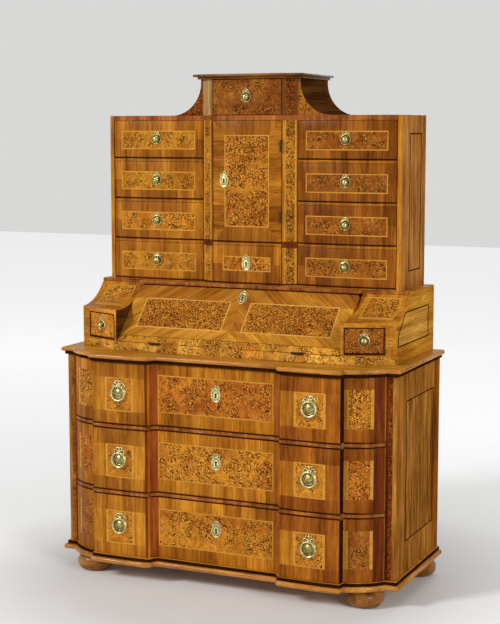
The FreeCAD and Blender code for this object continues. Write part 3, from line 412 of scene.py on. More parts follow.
def burr(name, pale, mid, deep, crowd, shift, joints=None, gleam=0.045):
    """Speckled burr veneer; crowd is the share of it where the dark eyes crowd."""
    finish, tree, shader = start_finish(name, gleam=gleam)
    place = here(tree)
    offset = (shift, shift * 0.7, shift * 1.3)
    moved = put(tree, "Mapping", None, {"Vector": place, "Location": offset}).outputs[0]
    swirl = noise(tree, moved, 36.0, 2.0, output="Color")
    swirl = put(tree, "VectorMath", {"operation": "SUBTRACT"}, {0: swirl, 1: (0.5, 0.5, 0.5)}).outputs[0]
    swirl = put(tree, "VectorMath", {"operation": "SCALE"}, {0: swirl, "Scale": 0.026}).outputs[0]
    warped = put(tree, "VectorMath", {"operation": "ADD"}, {0: moved, 1: swirl}).outputs[0]
    flow = noise(tree, warped, 62.0, 6.0, 0.72, 1.4)
    colour = ramp(tree, flow, [(0.3, deep), (0.66, pale), (0.46, mid)])
    bent = noise(tree, warped, 17.0, 2.0, 0.5)
    contour = calc(tree, "SINE", calc(tree, "MULTIPLY", bent, 130.0))
    contour = between(tree, contour, 0.35, 1.0, 0.0, 0.45)
    colour = mixed(tree, contour, colour, (0.62, 0.5, 0.42, 1.0), "MULTIPLY")
    cloud = noise(tree, moved, 19.0, 3.0, 0.6)
    colour = toned(
        tree, colour, 0.85, cloud, (0.34, 0.84, 0.7, 0.62), (0.64, 1.2, 1.2, 1.08), (0.5, 1.02, 0.98, 0.94)
    )
    wide = noise(tree, moved, 7.5, 3.0, 0.6, 0.6)
    colour = toned(
        tree, colour, 0.9, wide, (0.36, 0.78, 0.6, 0.5), (0.62, 1.14, 1.14, 1.06), (0.47, 1.0, 0.98, 0.95)
    )
    limit = 0.34 + 0.3 * crowd
    clumps = noise(tree, moved, 24.0, 2.0)
    crowding = between(tree, clumps, limit + 0.06, limit - 0.04, 0.12, 1.0)
    worms = noise(tree, warped, 205.0, 1.5, 0.5, 0.8)
    share = calc(tree, "MULTIPLY", between(tree, worms, 0.5, 0.41), crowding)
    colour = mixed(tree, calc(tree, "MULTIPLY", share, 0.94), colour, WORM_TINT)
    gaps = calc(tree, "MULTIPLY", between(tree, worms, 0.56, 0.64), crowding)
    paler = [min(1.0, 1.2 * part) for part in pale]
    colour = mixed(tree, calc(tree, "MULTIPLY", gaps, 0.9), colour, paler)
    for scale, size, kept in EYES:
        cell = put(tree, "TexVoronoi", None, {"Vector": warped, "Scale": scale})
        spot = between(tree, cell.outputs["Distance"], size, size * 0.7)
        chosen = put(tree, "SeparateColor", None, {0: cell.outputs["Color"]}).outputs[0]
        share = calc(tree, "MULTIPLY", spot, calc(tree, "LESS_THAN", chosen, kept))
        share = calc(tree, "MULTIPLY", share, calc(tree, "MULTIPLY", crowding, 0.95))
        colour = mixed(tree, share, colour, EYE_TINT)
    if joints:
        colour = piecing(tree, place, colour, joints)
    end_finish(tree, shader, colour, 0.3, flow, 0.0005)
    return finish


BURR_GOLD = tints((222, 156, 60), (190, 122, 35), (140, 78, 16))
BURR_RED = tints((212, 138, 52), (178, 102, 31), (122, 60, 11))
BURR_DARK = tints((184, 118, 46), (150, 90, 29), (100, 52, 11))
BURR_POST = tints((156, 88, 36), (120, 60, 21), (78, 35, 9))
BURR_PALE = tints((234, 178, 80), (208, 146, 52), (158, 98, 26))
BURR_DUSK = tints((166, 106, 42), (134, 78, 26), (88, 46, 10))
BURR_EYED = tints((210, 144, 54), (176, 110, 31), (128, 70, 15))
BURR_COLUMN = tints((206, 148, 55), (174, 114, 32), (128, 74, 16))
BURR_PLINTH = tints((246, 198, 98), (224, 166, 68), (172, 114, 36))
BURR = {
    "red": (BURR_RED, 0.62, 0.0, {}),
    "gold": (BURR_GOLD, 0.62, 3.1, {}),
    "amber": (BURR_GOLD, 0.46, 6.7, {}),
    "eyed": (BURR_EYED, 0.9, 9.2, {}),
    "column": (BURR_COLUMN, 0.42, 33.3, {}),
    "plinth": (BURR_PLINTH, 0.5, 15.9, {"joints": (0, 0.083, CHEST_ROWS), "gleam": 0.0}),
    "patchy": (BURR_GOLD, 0.3, 30.6, {}),
    "post": (BURR_POST, 0.8, 12.4, MATT),
    "dark": (BURR_DARK, 0.45, 21.3, {}),
    "dusk": (BURR_DUSK, 0.45, 36.9, {}),
    "corner": (BURR_GOLD, 0.8, 26.2, {}),
    "pieced": (BURR_PALE, 0.5, 15.9, {"joints": (0, 0.083, CHEST_ROWS), "gleam": 0.0}),
    "strip": (BURR_COLUMN, 0.7, 18.8, {"joints": (2, 0.062, CHEST_ROWS)}),
}
burl = {
    key: burr(f"burr_{key}", *colours, crowd, shift, **options)
    for key, (colours, crowd, shift, options) in BURR.items()
}
print("burr finishes:", len(burl))

# %% [markdown]
# ## Fillets, pine, brass and iron
# Pale fillets and dark lines frame the fields, and the dark line also paints shade into gaps and hollows. Drawer
# linings and backs are plain pine. The fittings are cast brass gone greenish, the plates and knobs darker than
# the rings and crowns, partly tarnish and partly painted shade and a painted dark reflection. Edges that hands
# rub stay bright, and hollows go dark, so the finish reads how sharply the mesh turns. The hinges and locks are
# dark iron.


# %% Other finishes
def plain_grain(name, light, dark, gloss, run="level", joints=None):
    """Plain wood in two colours, with its grain along one way."""
    finish, tree, shader = start_finish(name, gleam=0.0)
    place = here(tree)
    streak = noise(tree, stretched(tree, place, (6, 40, 90), TURNS[run]), 1.0, 5.0, 0.65, 0.4)
    colour = ramp(tree, streak, [(0.34, dark), (0.66, light)])
    if joints:
        colour = piecing(tree, place, colour, joints)
    end_finish(tree, shader, colour, gloss, streak, 0.0005)
    return finish


def cast_metal(name, bright, mid, tarnish, gloss):
    """Cast metal, bright where it is rubbed and dark in its hollows."""
    finish, tree, shader = start_finish(name, 1.0, 0.5)
    place = here(tree)
    patina = noise(tree, place, 210.0, 4.0, 0.65)
    turn = put(tree, "NewGeometry").outputs["Pointiness"]
    rubbed = calc(tree, "ADD", between(tree, turn, 0.4, 0.6, -0.28, 0.28), patina)
    colour = ramp(tree, rubbed, [(0.26, tarnish), (0.74, bright), (0.5, mid)])
    end_finish(tree, shader, colour, gloss, patina, 0.0004)
    return finish


fillet = plain_grain("pale_fillet", tint(232, 178, 88), tint(202, 144, 60), 0.34)
stringing = plain_grain("golden_stringing", tint(218, 158, 66), tint(190, 130, 46), 0.34)
# Dark inlay lines, and also painted shade in gaps, moulding hollows and below drawers
line = plain_grain("dark_line_and_painted_shade", tint(58, 29, 10), tint(35, 16, 5), 0.4)
PINE = (tint(202, 158, 100), tint(158, 112, 62))
pine = plain_grain("aged_pine", *PINE, 0.62)
pine_deep = plain_grain("aged_pine_deep", *PINE, 0.62, run="deep")
pine_boards = plain_grain("aged_pine_boards", *PINE, 0.62, joints=(2, 0.152, (-10.0, 100.0)))
brass = cast_metal("aged_brass", tint(242, 234, 184), tint(184, 174, 112), tint(88, 82, 42), 0.3)
# Darker brass for plates and rosettes: tarnish, with painted shade and a painted dark reflection
brass_tarnish_and_shade = cast_metal("brass_tarnish_and_painted_shade", tint(220, 208, 146), tint(148, 135, 74), tint(56, 50, 22), 0.3)
iron = cast_metal("dark_iron", tint(70, 56, 44), tint(44, 34, 27), tint(26, 20, 16), 0.5)
# Painted shadow for the floor of a keyhole
shadow = plain_grain("keyhole_painted_shadow", tint(20, 12, 6), tint(12, 8, 4), 0.8)
print("other finishes: fillet, line, pine, brass, iron, keyhole")

# %% [markdown]
# ## Joinery tools
# A CAD node's mesh is loose triangles, so each copy is merged and its flat faces made whole again. Merging also
# glues solids that touch, so they are parted again, and each of them is closed. The edges are then eased with a
# small bevel. Scoring is a bisect: a plane through the piece leaves an edge along which one veneer can meet
# another. Laying a veneer picks faces by their place and the way they face.


# %% Joinery tools
FRONT = (0, -1, 0)
BACK = (0, 1, 0)
UP = (0, 0, 1)
SIDES = {"left": -1, "right": 1}
BY_POINT = (True, False, False)
BY_FACE = (False, False, True)
SAME_PLACE = 0.00001
SAME_PLANE = math.radians(0.2)
SHARP = math.radians(38)
FACING = 0.35


def mode(name):
    """Change to edit mode or back to object mode."""
    bpy.ops.object.mode_set(mode=name)


def only(piece):
    """Select one piece and nothing else."""
    bpy.ops.object.select_all(action="DESELECT")
    piece.select_set(True)
    bpy.context.view_layer.objects.active = piece


def adopt(piece, node):
    """Let a piece stand for a CAD node: it rides on its body, and the node is hidden."""
    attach(piece, frame["nodes"][node]["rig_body"])
    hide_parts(node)
    return piece


def shaped(piece, kind, **settings):
    """Add a modifier to a piece, set it and apply it."""
    only(piece)
    modifier = piece.modifiers.new(kind.lower(), kind)
    for key, value in settings.items():
        setattr(modifier, key, value)
    bpy.ops.object.modifier_apply(modifier=modifier.name)


def eased(piece, width):
    """Bevel the sharp edges of a piece by a width in millimetres."""
    shaped(piece, "BEVEL", width=width * MM, segments=2, limit_method="ANGLE", angle_limit=SHARP)


def twin(piece, name):
    """A copy of a piece with a mesh of its own."""
    copy = bpy.data.objects.new(name, piece.data.copy())
    bpy.context.scene.collection.objects.link(copy)
    return copy


def joined(pieces, name):
    """Make one piece of several."""
    bpy.ops.object.select_all(action="DESELECT")
    for piece in pieces:
        piece.select_set(True)
    bpy.context.view_layer.objects.active = pieces[0]
    bpy.ops.object.join()
    pieces[0].name = name
    return pieces[0]


def without(piece, drop):
    """Delete the faces of a piece that a test picks."""
    for face in piece.data.polygons:
        face.select = drop(face)
    only(piece)
    bpy.context.tool_settings.mesh_select_mode = BY_FACE
    mode("EDIT")
    bpy.ops.mesh.delete(type="FACE")
    mode("OBJECT")


def solids_of(mesh):
    """Sets of faces that hang together by edges which just two faces share."""
    owners = {}
    for face in mesh.polygons:
        for edge in face.edge_keys:
            owners.setdefault(edge, []).append(face.index)
    left = set(range(len(mesh.polygons)))
    solids = []
    while left:
        todo = [min(left)]
        solid = set(todo)
        while todo:
            for edge in mesh.polygons[todo.pop()].edge_keys:
                if len(owners[edge]) == 2:
                    fresh = [face for face in owners[edge] if face not in solid]
                    solid.update(fresh)
                    todo.extend(fresh)
        left -= solid
        solids.append(solid)
    return solids


def parted(piece):
    """Part solids that touch along an edge, and unite those that share a whole face by dropping that face."""
    uses = Counter(edge for face in piece.data.polygons for edge in face.edge_keys)
    without(piece, lambda face: min(uses[edge] for edge in face.edge_keys) > 2)
    pieces = []
    for solid in solids_of(piece.data):
        pieces.append(twin(piece, piece.name))
        without(pieces[-1], lambda face: face.index not in solid)
    name = piece.name
    bpy.data.objects.remove(piece)
    return joined(pieces, name)


def merged_copy(node, finish):
    """A copy of a CAD node with its triangles joined up and one finish."""
    piece = twin(frame["nodes"][node], f"{node}_dressed")
    only(piece)
    mode("EDIT")
    bpy.ops.mesh.select_all(action="SELECT")
    bpy.ops.mesh.remove_doubles(threshold=SAME_PLACE)
    bpy.ops.mesh.dissolve_limited(angle_limit=SAME_PLANE)
    mode("OBJECT")
    piece = parted(piece)
    piece.data.materials.clear()
    piece.data.materials.append(finish)
    for face in piece.data.polygons:
        face.material_index = 0
    return piece


def copy_of(node, finish, ease=1.0):
    """A dressed copy that stands for its node, its edges eased."""
    piece = merged_copy(node, finish)
    if ease:
        eased(piece, ease)
    return adopt(piece, node)


def score(piece, x=(), y=(), z=(), planes=()):
    """Bisect a piece at places along X, Y and Z in millimetres, and at planes of a point and a normal."""
    cuts = [((place, 0, 0), (1, 0, 0)) for place in x]
    cuts += [((0, place, 0), (0, 1, 0)) for place in y]
    cuts += [((0, 0, place), (0, 0, 1)) for place in z]
    cuts += list(planes)
    only(piece)
    mode("EDIT")
    for point, normal in cuts:
        bpy.ops.mesh.select_all(action="SELECT")
        bpy.ops.mesh.bisect(plane_co=Vector(point) * MM, plane_no=normal)
    mode("OBJECT")


def lay(piece, finish, facing=None, x=None, across=None, y=None, z=None, where=None):
    """Give a finish to the faces that look one way and whose middles lie in the spans, in millimetres."""
    if finish.name not in piece.data.materials:
        piece.data.materials.append(finish)
    index = piece.data.materials.find(finish.name)
    for face in piece.data.polygons:
        middle = face.center / MM
        spans = ((middle.x, x), (abs(middle.x), across), (middle.y, y), (middle.z, z))
        if facing and face.normal.dot(Vector(facing)) < FACING:
            continue
        if any(span and not span[0] <= value < span[1] for value, span in spans):
            continue
        if where and not where(middle):
            continue
        face.material_index = index


def lay_sides(piece, finish, **spans):
    """Give a finish to the faces that look left or right."""
    for sign in SIDES.values():
        lay(piece, finish, (sign, 0, 0), **spans)


def finished(piece, angle=24):
    """Shade the curves smooth and leave the edges crisp."""
    only(piece)
    bpy.ops.object.shade_smooth_by_angle(angle=math.radians(angle))
    return piece


def both(*places):
    """The same places on the left and on the right."""
    return [sign * place for place in places for sign in (-1, 1)]


def inset(span, gap):
    """A span drawn in at both ends, or let out by a gap below nothing."""
    return (span[0] + gap, span[1] - gap)


def mirrored(span):
    """The same span on the left."""
    return (-span[1], -span[0])


def nearer_than(depth):
    """A test for the faces in front of a depth along Y."""
    return lambda middle: middle.y < depth


def span_of(node):
    """Lowest and highest corner of a CAD node in millimetres."""
    low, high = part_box(node)
    return low / MM, high / MM


print("joinery tools ready")

# %% [markdown]
# ## Chest: drawer fronts
# Each front is one serpentine: a flat middle, coves, two handle blocks and canted corners. The burr fields sit
# in pale fillets. Bands of walnut with the grain across them run above and below, pieced from short lengths. The
# coves are reddish upright walnut, with painted light: lighter tints on the shaded part of the left cove, on the
# right cove and on the outer edge of the right blocks. The flanks of the blocks get a painted shadow line.

# %% Chest drawer fronts
CENTRE_FIELD = (-222, 212)
COVES = (-262, 254)
BLOCK = (253, 472)
BLOCK_FIELD = (314, 411)
CORNER = (474, 596)
CORNER_FIELD = (490, 557)
FILLET = 4.5
THIN_FILLET = 3.5
WIDE_FILLET = 9
CENTRE_BANDS = (44, 40)
BLOCK_BANDS = (44, 54)
CORNER_BANDS = (45, 40)
FLANK = (470, 476)
CHEST_HALF = 640
CHEST_SIDE = (628, CHEST_HALF)
CHEST_BURL = {1: "red", 2: "gold", 3: "amber"}
CORNER_BURL = {1: "corner", 2: "red", 3: "dark"}


def chest_front(number):
    """Veneer a chest drawer front: bands first, then blocks, coves, fields and corners."""
    node = f"chest_drawer_front_{number}"
    piece = copy_of(node, walnut["upright"], ease=1.5)
    low, high = span_of(node)
    centre_z = (low.z + CENTRE_BANDS[0], high.z - CENTRE_BANDS[1])
    block_z = (low.z + BLOCK_BANDS[0], high.z - BLOCK_BANDS[1])
    corner_z = (low.z + CORNER_BANDS[0], high.z - CORNER_BANDS[1])
    inner_centre_z = inset(centre_z, THIN_FILLET)
    inner_block_z = inset(block_z, THIN_FILLET)
    centre_end = inset(CENTRE_FIELD, -FILLET)
    block_end = inset(BLOCK_FIELD, -WIDE_FILLET)
    corner_end = (CORNER_FIELD[0] - FILLET, CORNER_FIELD[1] + WIDE_FILLET)
    score(piece, x=(*CENTRE_FIELD, *centre_end, *COVES, -BLOCK[0]))
    score(piece, x=both(*BLOCK_FIELD, *block_end, *CORNER_FIELD, *corner_end))
    score(piece, z=(*centre_z, *inner_centre_z, *block_z, *inner_block_z, *corner_z))
    lay(piece, line, FRONT, across=(CORNER[1], CHEST_HALF))
    lay(piece, walnut["left_band"], FRONT, x=mirrored(BLOCK))
    lay(piece, walnut["red_band"], FRONT, x=BLOCK)
    lay(piece, walnut["upright"], FRONT, across=BLOCK, z=block_z)
    # Painted light: a lighter tint on the outer edge of the right block
    lay(piece, walnut["lit_cove"], FRONT, x=(block_end[1], BLOCK[1]), z=block_z)
    lay(piece, stringing, FRONT, across=block_end, z=block_z)
    lay(piece, burl["patchy"], FRONT, across=BLOCK_FIELD, z=inner_block_z)
    lay(piece, walnut["cove"], FRONT, x=(COVES[0], -BLOCK[0]))
    # Painted light: lighter tints on the shaded part of the left cove and on the right cove
    lay(piece, walnut["painted_light_cove"], FRONT, x=(-BLOCK[0], centre_end[0]))
    lay(piece, walnut["lit_cove"], FRONT, x=(centre_end[1], COVES[1]))
    lay(piece, walnut["band"], FRONT, x=centre_end)
    lay(piece, stringing, FRONT, x=centre_end, z=centre_z)
    lay(piece, burl[CHEST_BURL[number]], FRONT, x=CENTRE_FIELD, z=inner_centre_z)
    # Painted shadow on the flanks of the blocks
    lay(piece, line, (-1, 0, 0), x=mirrored(FLANK))
    lay(piece, line, (1, 0, 0), x=FLANK)
    lay(piece, walnut["left_band"], FRONT, x=mirrored(CORNER))
    lay(piece, walnut["red_band"], FRONT, x=CORNER)
    lay(piece, walnut["upright"], FRONT, across=(CORNER[0], corner_end[0]), z=corner_z)
    lay(piece, stringing, FRONT, across=(corner_end[0], CORNER_FIELD[0]), z=corner_z)
    lay(piece, burl[CORNER_BURL[number]], FRONT, across=CORNER_FIELD, z=corner_z)
    lay(piece, stringing, FRONT, across=(CORNER_FIELD[1], corner_end[1]), z=corner_z)
    lay(piece, walnut["cove"], FRONT, x=(corner_end[1], CORNER[1]))
    finished(piece)
    print(node, "faces:", len(piece.data.polygons))


for number in CHEST_BURL:
    chest_front(number)

# %% [markdown]
# ## Chest: case
# The rails between the drawers are cross-grained and rounded, with a painted shadow line above and below. The
# posts carry narrow burr strips, and the sides are straight walnut with a long field framed by a dark line. The
# moulded boards are polished walnut, with painted shade in their hollows.

# %% Chest case
PAINTED_SHADE_DEPTH = 5.0
OVERLAP = 1.0


def in_painted_shade(height, drawers):
    """True for a height in the painted shadow line below one of the drawers."""
    gaps = [span_of(drawer)[0].z for drawer in drawers]
    return any(gap - PAINTED_SHADE_DEPTH <= height < gap + OVERLAP for gap in gaps)


def shaded_rails(node, drawers, finish, ease, foot=0.0):
    """Rails with a painted shadow line below each drawer, and one above it where foot gives its width."""
    piece = copy_of(node, finish, ease)
    for drawer in drawers:
        low, high = span_of(drawer)
        score(piece, z=(low.z - PAINTED_SHADE_DEPTH, high.z + foot))
        # Painted shadow: a dark line below the drawer, and one above it
        lay(piece, line, FRONT, z=(low.z - PAINTED_SHADE_DEPTH, low.z + OVERLAP))
        lay(piece, line, FRONT, z=(high.z - OVERLAP, high.z + foot))
    return piece


chest_fronts = [f"chest_drawer_front_{number}" for number in CHEST_BURL]
finished(shaded_rails("chest_rails", chest_fronts, walnut["rail"], ease=4.0, foot=6.0), angle=40)
MOULDING_ENDS = (636, 660)
TOP_SKIN = 0.2
# Heights of the hollows painted with shade, up from the foot of the base and down from the face of the top
SHADED_HOLLOWS = {"base_moulding": (20, 100), "chest_top": (-100, -17)}
for node, hollow in SHADED_HOLLOWS.items():
    moulding = copy_of(node, walnut["nose"], ease=0.6)
    lay_sides(moulding, walnut["nose_deep"], across=MOULDING_ENDS)
    low, high = span_of(node)
    edge = low.z if node == "base_moulding" else high.z
    # The hollow next to the nose gets painted shade
    lay(moulding, line, z=(edge + hollow[0], edge + hollow[1]))
    lay(moulding, walnut["mould"], UP, z=(high.z - TOP_SKIN, high.z + OVERLAP))
    finished(moulding, angle=32)


POST_STRIP = (606, 619)
SKIN = 2
UPRIGHT_LINE = 8.0
LEVEL_LINE = 4.5
CHEST_FIELD_Y = (-78, 232)
CHEST_FIELD_Z = (205, 695)
BACK_POST_Y = (232, 400)


def framed_side(node, deep, tall, field, ground):
    """Sides with a field framed by a dark line; deep and tall are the field's spans along Y and Z."""
    piece = copy_of(node, ground)
    reach = span_of(node)[1].x - SKIN
    inner_y = inset(deep, UPRIGHT_LINE)
    inner_z = inset(tall, LEVEL_LINE)
    score(piece, y=(*deep, *inner_y), z=(*tall, *inner_z))

    def outer(middle):
        return abs(middle.x) > reach

    lay_sides(piece, line, y=deep, z=tall, where=outer)
    lay_sides(piece, field, y=inner_y, z=inner_z, where=outer)
    return piece


chest_sides = framed_side("chest_sides", CHEST_FIELD_Y, CHEST_FIELD_Z, walnut["field"], walnut["side"])
score(chest_sides, x=both(*POST_STRIP))
lay_sides(chest_sides, walnut["back_post"], y=BACK_POST_Y, across=CHEST_SIDE)
lay(chest_sides, walnut["cove"], FRONT)
lay(chest_sides, burl["post"], FRONT, x=POST_STRIP)
lay(chest_sides, burl["dark"], FRONT, x=mirrored(POST_STRIP))
lay(chest_sides, walnut["side"], FRONT, across=(POST_STRIP[1], CHEST_HALF))
finished(chest_sides)
for number in CHEST_BURL:
    box = copy_of(f"chest_drawer_box_{number}", pine, ease=0.8)
    lay_sides(box, pine_deep)
    finished(box)
finished(copy_of("bun_feet", walnut["foot"], ease=0), angle=44)
print("chest case dressed")

# %% [markdown]
# ## Writing section
# The slanted fall has two burr fields in pale fillets, a wide band whose grain leans to the middle, and a burr
# strip along its foot. The boxes beside it sweep up to the cabinet, with a burr field on each hollow top, a
# cheek towards the fall darkened with painted shade, and a framed outer side.

# %% Fall
fall_way = Vector((0, FALL_HIGH[0] - FALL_LOW[0], FALL_HIGH[1] - FALL_LOW[1]))
fall_length = fall_way.length
fall_up = fall_way.normalized()
FALL_OUT = (0, -fall_up.z, fall_up.y)
FALL_FIELD_X = (42, 372)
FALL_FIELD_CLIMB = (74, 198)
FALL_STRIP = (28.5, 30)
FALL_HALF = 500
FALL_DUSK = 200
FALL_FOOT = -1
FALL_TOP = 300


def climb(middle):
    """Distance up the fall from its lower edge."""
    return (middle - Vector((0, *FALL_LOW))).dot(fall_up)


def on_fall(distance):
    """The point a distance up the fall, on its middle line."""
    return Vector((0, *FALL_LOW)) + fall_up * distance


def climbing(low, high):
    """A test for the faces between two distances up the fall."""
    return lambda middle: low < climb(middle) < high


fall = copy_of("fall_panel", walnut["level"], ease=1.5)
frame_climb = inset(FALL_FIELD_CLIMB, -FILLET)
frame_x = inset(FALL_FIELD_X, -FILLET)
score(fall, x=[0] + both(*FALL_FIELD_X, *frame_x))
levels = (*FALL_STRIP, *FALL_FIELD_CLIMB, *frame_climb)
score(fall, planes=[(on_fall(level), fall_up) for level in levels])
BANDS = (
    ("rising", "falling", FALL_HALF, (FALL_FOOT, FALL_DUSK)),
    ("rising_dusk", "falling_dusk", FALL_HALF, (FALL_DUSK, FALL_TOP)),
    ("rising_dusk", "falling_dusk", frame_x[0], (FALL_FIELD_CLIMB[0], FALL_TOP)),
)
for left, right, half, band in BANDS:
    lay(fall, walnut[left], FALL_OUT, x=(-half, 0), where=climbing(*band))
    lay(fall, walnut[right], FALL_OUT, x=(0, half), where=climbing(*band))
lay(fall, fillet, FALL_OUT, across=frame_x, where=climbing(*frame_climb))
lay(fall, burl["eyed"], FALL_OUT, across=FALL_FIELD_X, where=climbing(*FALL_FIELD_CLIMB))
lay(fall, line, FALL_OUT, where=climbing(*FALL_STRIP))
lay(fall, burl["pieced"], FALL_OUT, where=climbing(FALL_FOOT, FALL_STRIP[0]))
lay(fall, walnut["level"], (0, fall_up.z, -fall_up.y))
finished(fall)
print("fall length:", round(fall_length, 1))

# %% Desk boxes
BOX_FIELD_X = (462, 574)
BOX_FRAME_X = inset(BOX_FIELD_X, -FILLET)
BOX_FIELD_Z = (972, 1026)
BOX_FRAME_Z = (967, 1030)
HOLLOW_WAY = (0, -0.6, 0.8)
HOLLOW_FOOT = 962
HOLLOW_BACK = 42
BOX_FRONT_Z = (840, 964)
BOX_CHEEK = (420, 434)
BOX_OUTSIDE = (604, 610)
PLINTH_ENDS = (590, 620)
SIDE_FIELD_Z = (876, 990)
SIDE_FIELD_Y = (-96, 240)
SIDE_BEND_Z = 916
SIDE_SLANT = (0, -0.707, 0.707)
SIDE_LINE = 4.5
DESK_DRAWER_X = (437, 566)
DESK_DRAWER_Z = (860, 947)
DRAWER_GAP_X = 571
DRAWER_GAP_Z = 852.5


def on_hollow(middle):
    """True on the hollow top of a desk box."""
    return middle.z > HOLLOW_FOOT and middle.y < HOLLOW_BACK


def in_side_field(gap):
    """A test for the five-sided field of the outer side, drawn in by a gap."""
    start = SIDE_FIELD_Y[0] + gap * 2

    def inside(middle):
        level = SIDE_FIELD_Z[0] + gap < middle.z < SIDE_FIELD_Z[1] - gap
        along = start < middle.y < SIDE_FIELD_Y[1] - gap * 2
        return level and along and middle.y - start > middle.z - SIDE_BEND_Z and abs(middle.x) > BOX_OUTSIDE[0]

    return inside


def desk_box(side, sign):
    """Veneer a box beside the fall: hollow top, front, outer side and cheek."""
    piece = copy_of(f"desk_box_{side}", walnut["level"])
    score(piece, x=both(*BOX_FIELD_X, *BOX_FRAME_X), z=(*BOX_FIELD_Z, *BOX_FRAME_Z))
    lay(piece, walnut["upright"], HOLLOW_WAY, where=on_hollow)
    lay(piece, stringing, HOLLOW_WAY, across=BOX_FRAME_X, z=BOX_FRAME_Z, where=on_hollow)
    lay(piece, burl["gold"], HOLLOW_WAY, across=BOX_FIELD_X, z=BOX_FIELD_Z, where=on_hollow)
    lay(piece, walnut["box_band"], FRONT, z=BOX_FRONT_Z)
    # Painted shadow in the gap below and beside the drawer
    score(piece, x=both(DRAWER_GAP_X), z=[DRAWER_GAP_Z])
    lay(piece, line, FRONT, across=(DESK_DRAWER_X[0], DRAWER_GAP_X), z=(DRAWER_GAP_Z, DESK_DRAWER_Z[0]))
    lay(piece, line, FRONT, across=(DESK_DRAWER_X[1], DRAWER_GAP_X), z=(DRAWER_GAP_Z, DESK_DRAWER_Z[1]))
    bends = (SIDE_FIELD_Y[0], SIDE_FIELD_Y[0] + SIDE_LINE * 2)
    back_y = (SIDE_FIELD_Y[1], SIDE_FIELD_Y[1] - SIDE_LINE * 2)
    inner_z = inset(SIDE_FIELD_Z, SIDE_LINE)
    slants = [((0, bend, SIDE_BEND_Z), SIDE_SLANT) for bend in bends]
    score(piece, z=(*SIDE_FIELD_Z, *inner_z), y=(*bends, *back_y), planes=slants)
    outward = (sign, 0, 0)
    lay(piece, walnut["box_side"], outward, across=BOX_OUTSIDE)
    lay(piece, line, outward, where=in_side_field(0))
    lay(piece, walnut["box_field"], outward, where=in_side_field(SIDE_LINE))
    # Painted shade on the cheek that faces the fall
    lay(piece, walnut["dark"], (-sign, 0, 0), across=BOX_CHEEK)
    finished(piece)


for side, sign in SIDES.items():
    desk_box(side, sign)
plinth = copy_of("desk_plinth", burl["plinth"])
lay(plinth, walnut["level"], UP)
lay(plinth, pine, BACK)
lay_sides(plinth, walnut["box_side"], across=PLINTH_ENDS)
finished(plinth)
desk_top = copy_of("desk_top", walnut["level"], ease=2.0)
lay(desk_top, walnut["rail"], FRONT)
lay_sides(desk_top, walnut["box_side"])
finished(desk_top)
finished(copy_of("writing_interior", walnut["level"], ease=0.6))
print("desk boxes dressed")

# %% [markdown]
# ## Small drawers
# All the small drawers are made alike: a veneered front on a pine box. The column and bay drawers have a burr
# field in a thin pale rectangle, banded with cross-grained walnut. The desk and pediment drawers are plain
# burr in a thin dark line. Only the finishes and the spans of the fields differ.


# %% Small drawers
def small_front(node, spans, veneer, band, edge):
    """Veneer a small drawer: the field lies a margin in from the sides and between two shares of the height."""
    depth, side, low_share, high_share = spans
    piece = copy_of(node, pine, ease=0.8)
    low, high = span_of(node)
    tall = high.z - low.z
    x = inset((low.x, high.x), side)
    z = (low.z + low_share * tall, low.z + high_share * tall)
    inner_x = inset(x, THIN_FILLET)
    inner_z = inset(z, THIN_FILLET)
    score(piece, x=(*x, *inner_x), z=(*z, *inner_z))
    ahead = nearer_than(low.y + depth)
    lay_sides(piece, pine_deep)
    lay(piece, walnut["level"], where=ahead)
    lay(piece, band, FRONT, where=ahead)
    lay(piece, edge, FRONT, x=x, z=z, where=ahead)
    lay(piece, veneer, FRONT, x=inner_x, z=inner_z, where=ahead)
    return finished(piece)


# Depth of a front, side margin of its field, and the shares of its height that the field lies between
COLUMN_SPANS = (28, 30, 0.22, 0.73)
DESK_SPANS = (72, 2.5, 0.03, 0.97)
BAY_SPANS = (20, 40, 0.31, 0.71)
PEDIMENT_SPANS = (20, 2, 0.016, 0.984)
COLUMN_BURL = {
    "left": ("column", "column", "gold", "column"),
    "right": ("dark", "dusk", "dark", "dark"),
}
DESK_BURL = {"left": "amber", "right": "dark"}
COLUMN_BANDS = {"left": walnut["column_band"], "right": walnut["dusky_band"]}
for side, veneers in COLUMN_BURL.items():
    for number, veneer in enumerate(veneers, 1):
        node = f"column_drawer_{side}_{number}"
        small_front(node, COLUMN_SPANS, burl[veneer], COLUMN_BANDS[side], stringing)
    veneer = burl[DESK_BURL[side]]
    small_front(f"desk_drawer_{side}", DESK_SPANS, veneer, line, veneer)
small_front("bay_drawer", BAY_SPANS, burl["gold"], walnut["column_band"], stringing)
small_front("pediment_drawer", PEDIMENT_SPANS, burl["dusk"], line, burl["dusk"])
print("small drawers dressed")

# %% [markdown]
# ## Upper cabinet
# The door is framed with wide mitred walnut round a speckled burr field. Narrow burr strips between fillets
# run up the canted pilasters, and the sides have a long narrow field in a dark line.

# %% Door
DOOR_BAND = (46, 50)
DOOR_FILLET = 4
low, high = span_of("door_panel")
door = copy_of("door_panel", walnut["stile_band"], ease=1.2)
door_x = inset((low.x, high.x), DOOR_BAND[0])
door_z = inset((low.z, high.z), DOOR_BAND[1])
inner_x = inset(door_x, DOOR_FILLET)
inner_z = inset(door_z, DOOR_FILLET)
score(door, x=(*door_x, *inner_x), z=(*door_z, *inner_z))
mitres = [
    ((low.x, 0, low.z), (DOOR_BAND[1], 0, -DOOR_BAND[0])),
    ((high.x, 0, low.z), (DOOR_BAND[1], 0, DOOR_BAND[0])),
    ((low.x, 0, high.z), (DOOR_BAND[1], 0, DOOR_BAND[0])),
    ((high.x, 0, high.z), (DOOR_BAND[1], 0, -DOOR_BAND[0])),
]
score(door, planes=mitres)


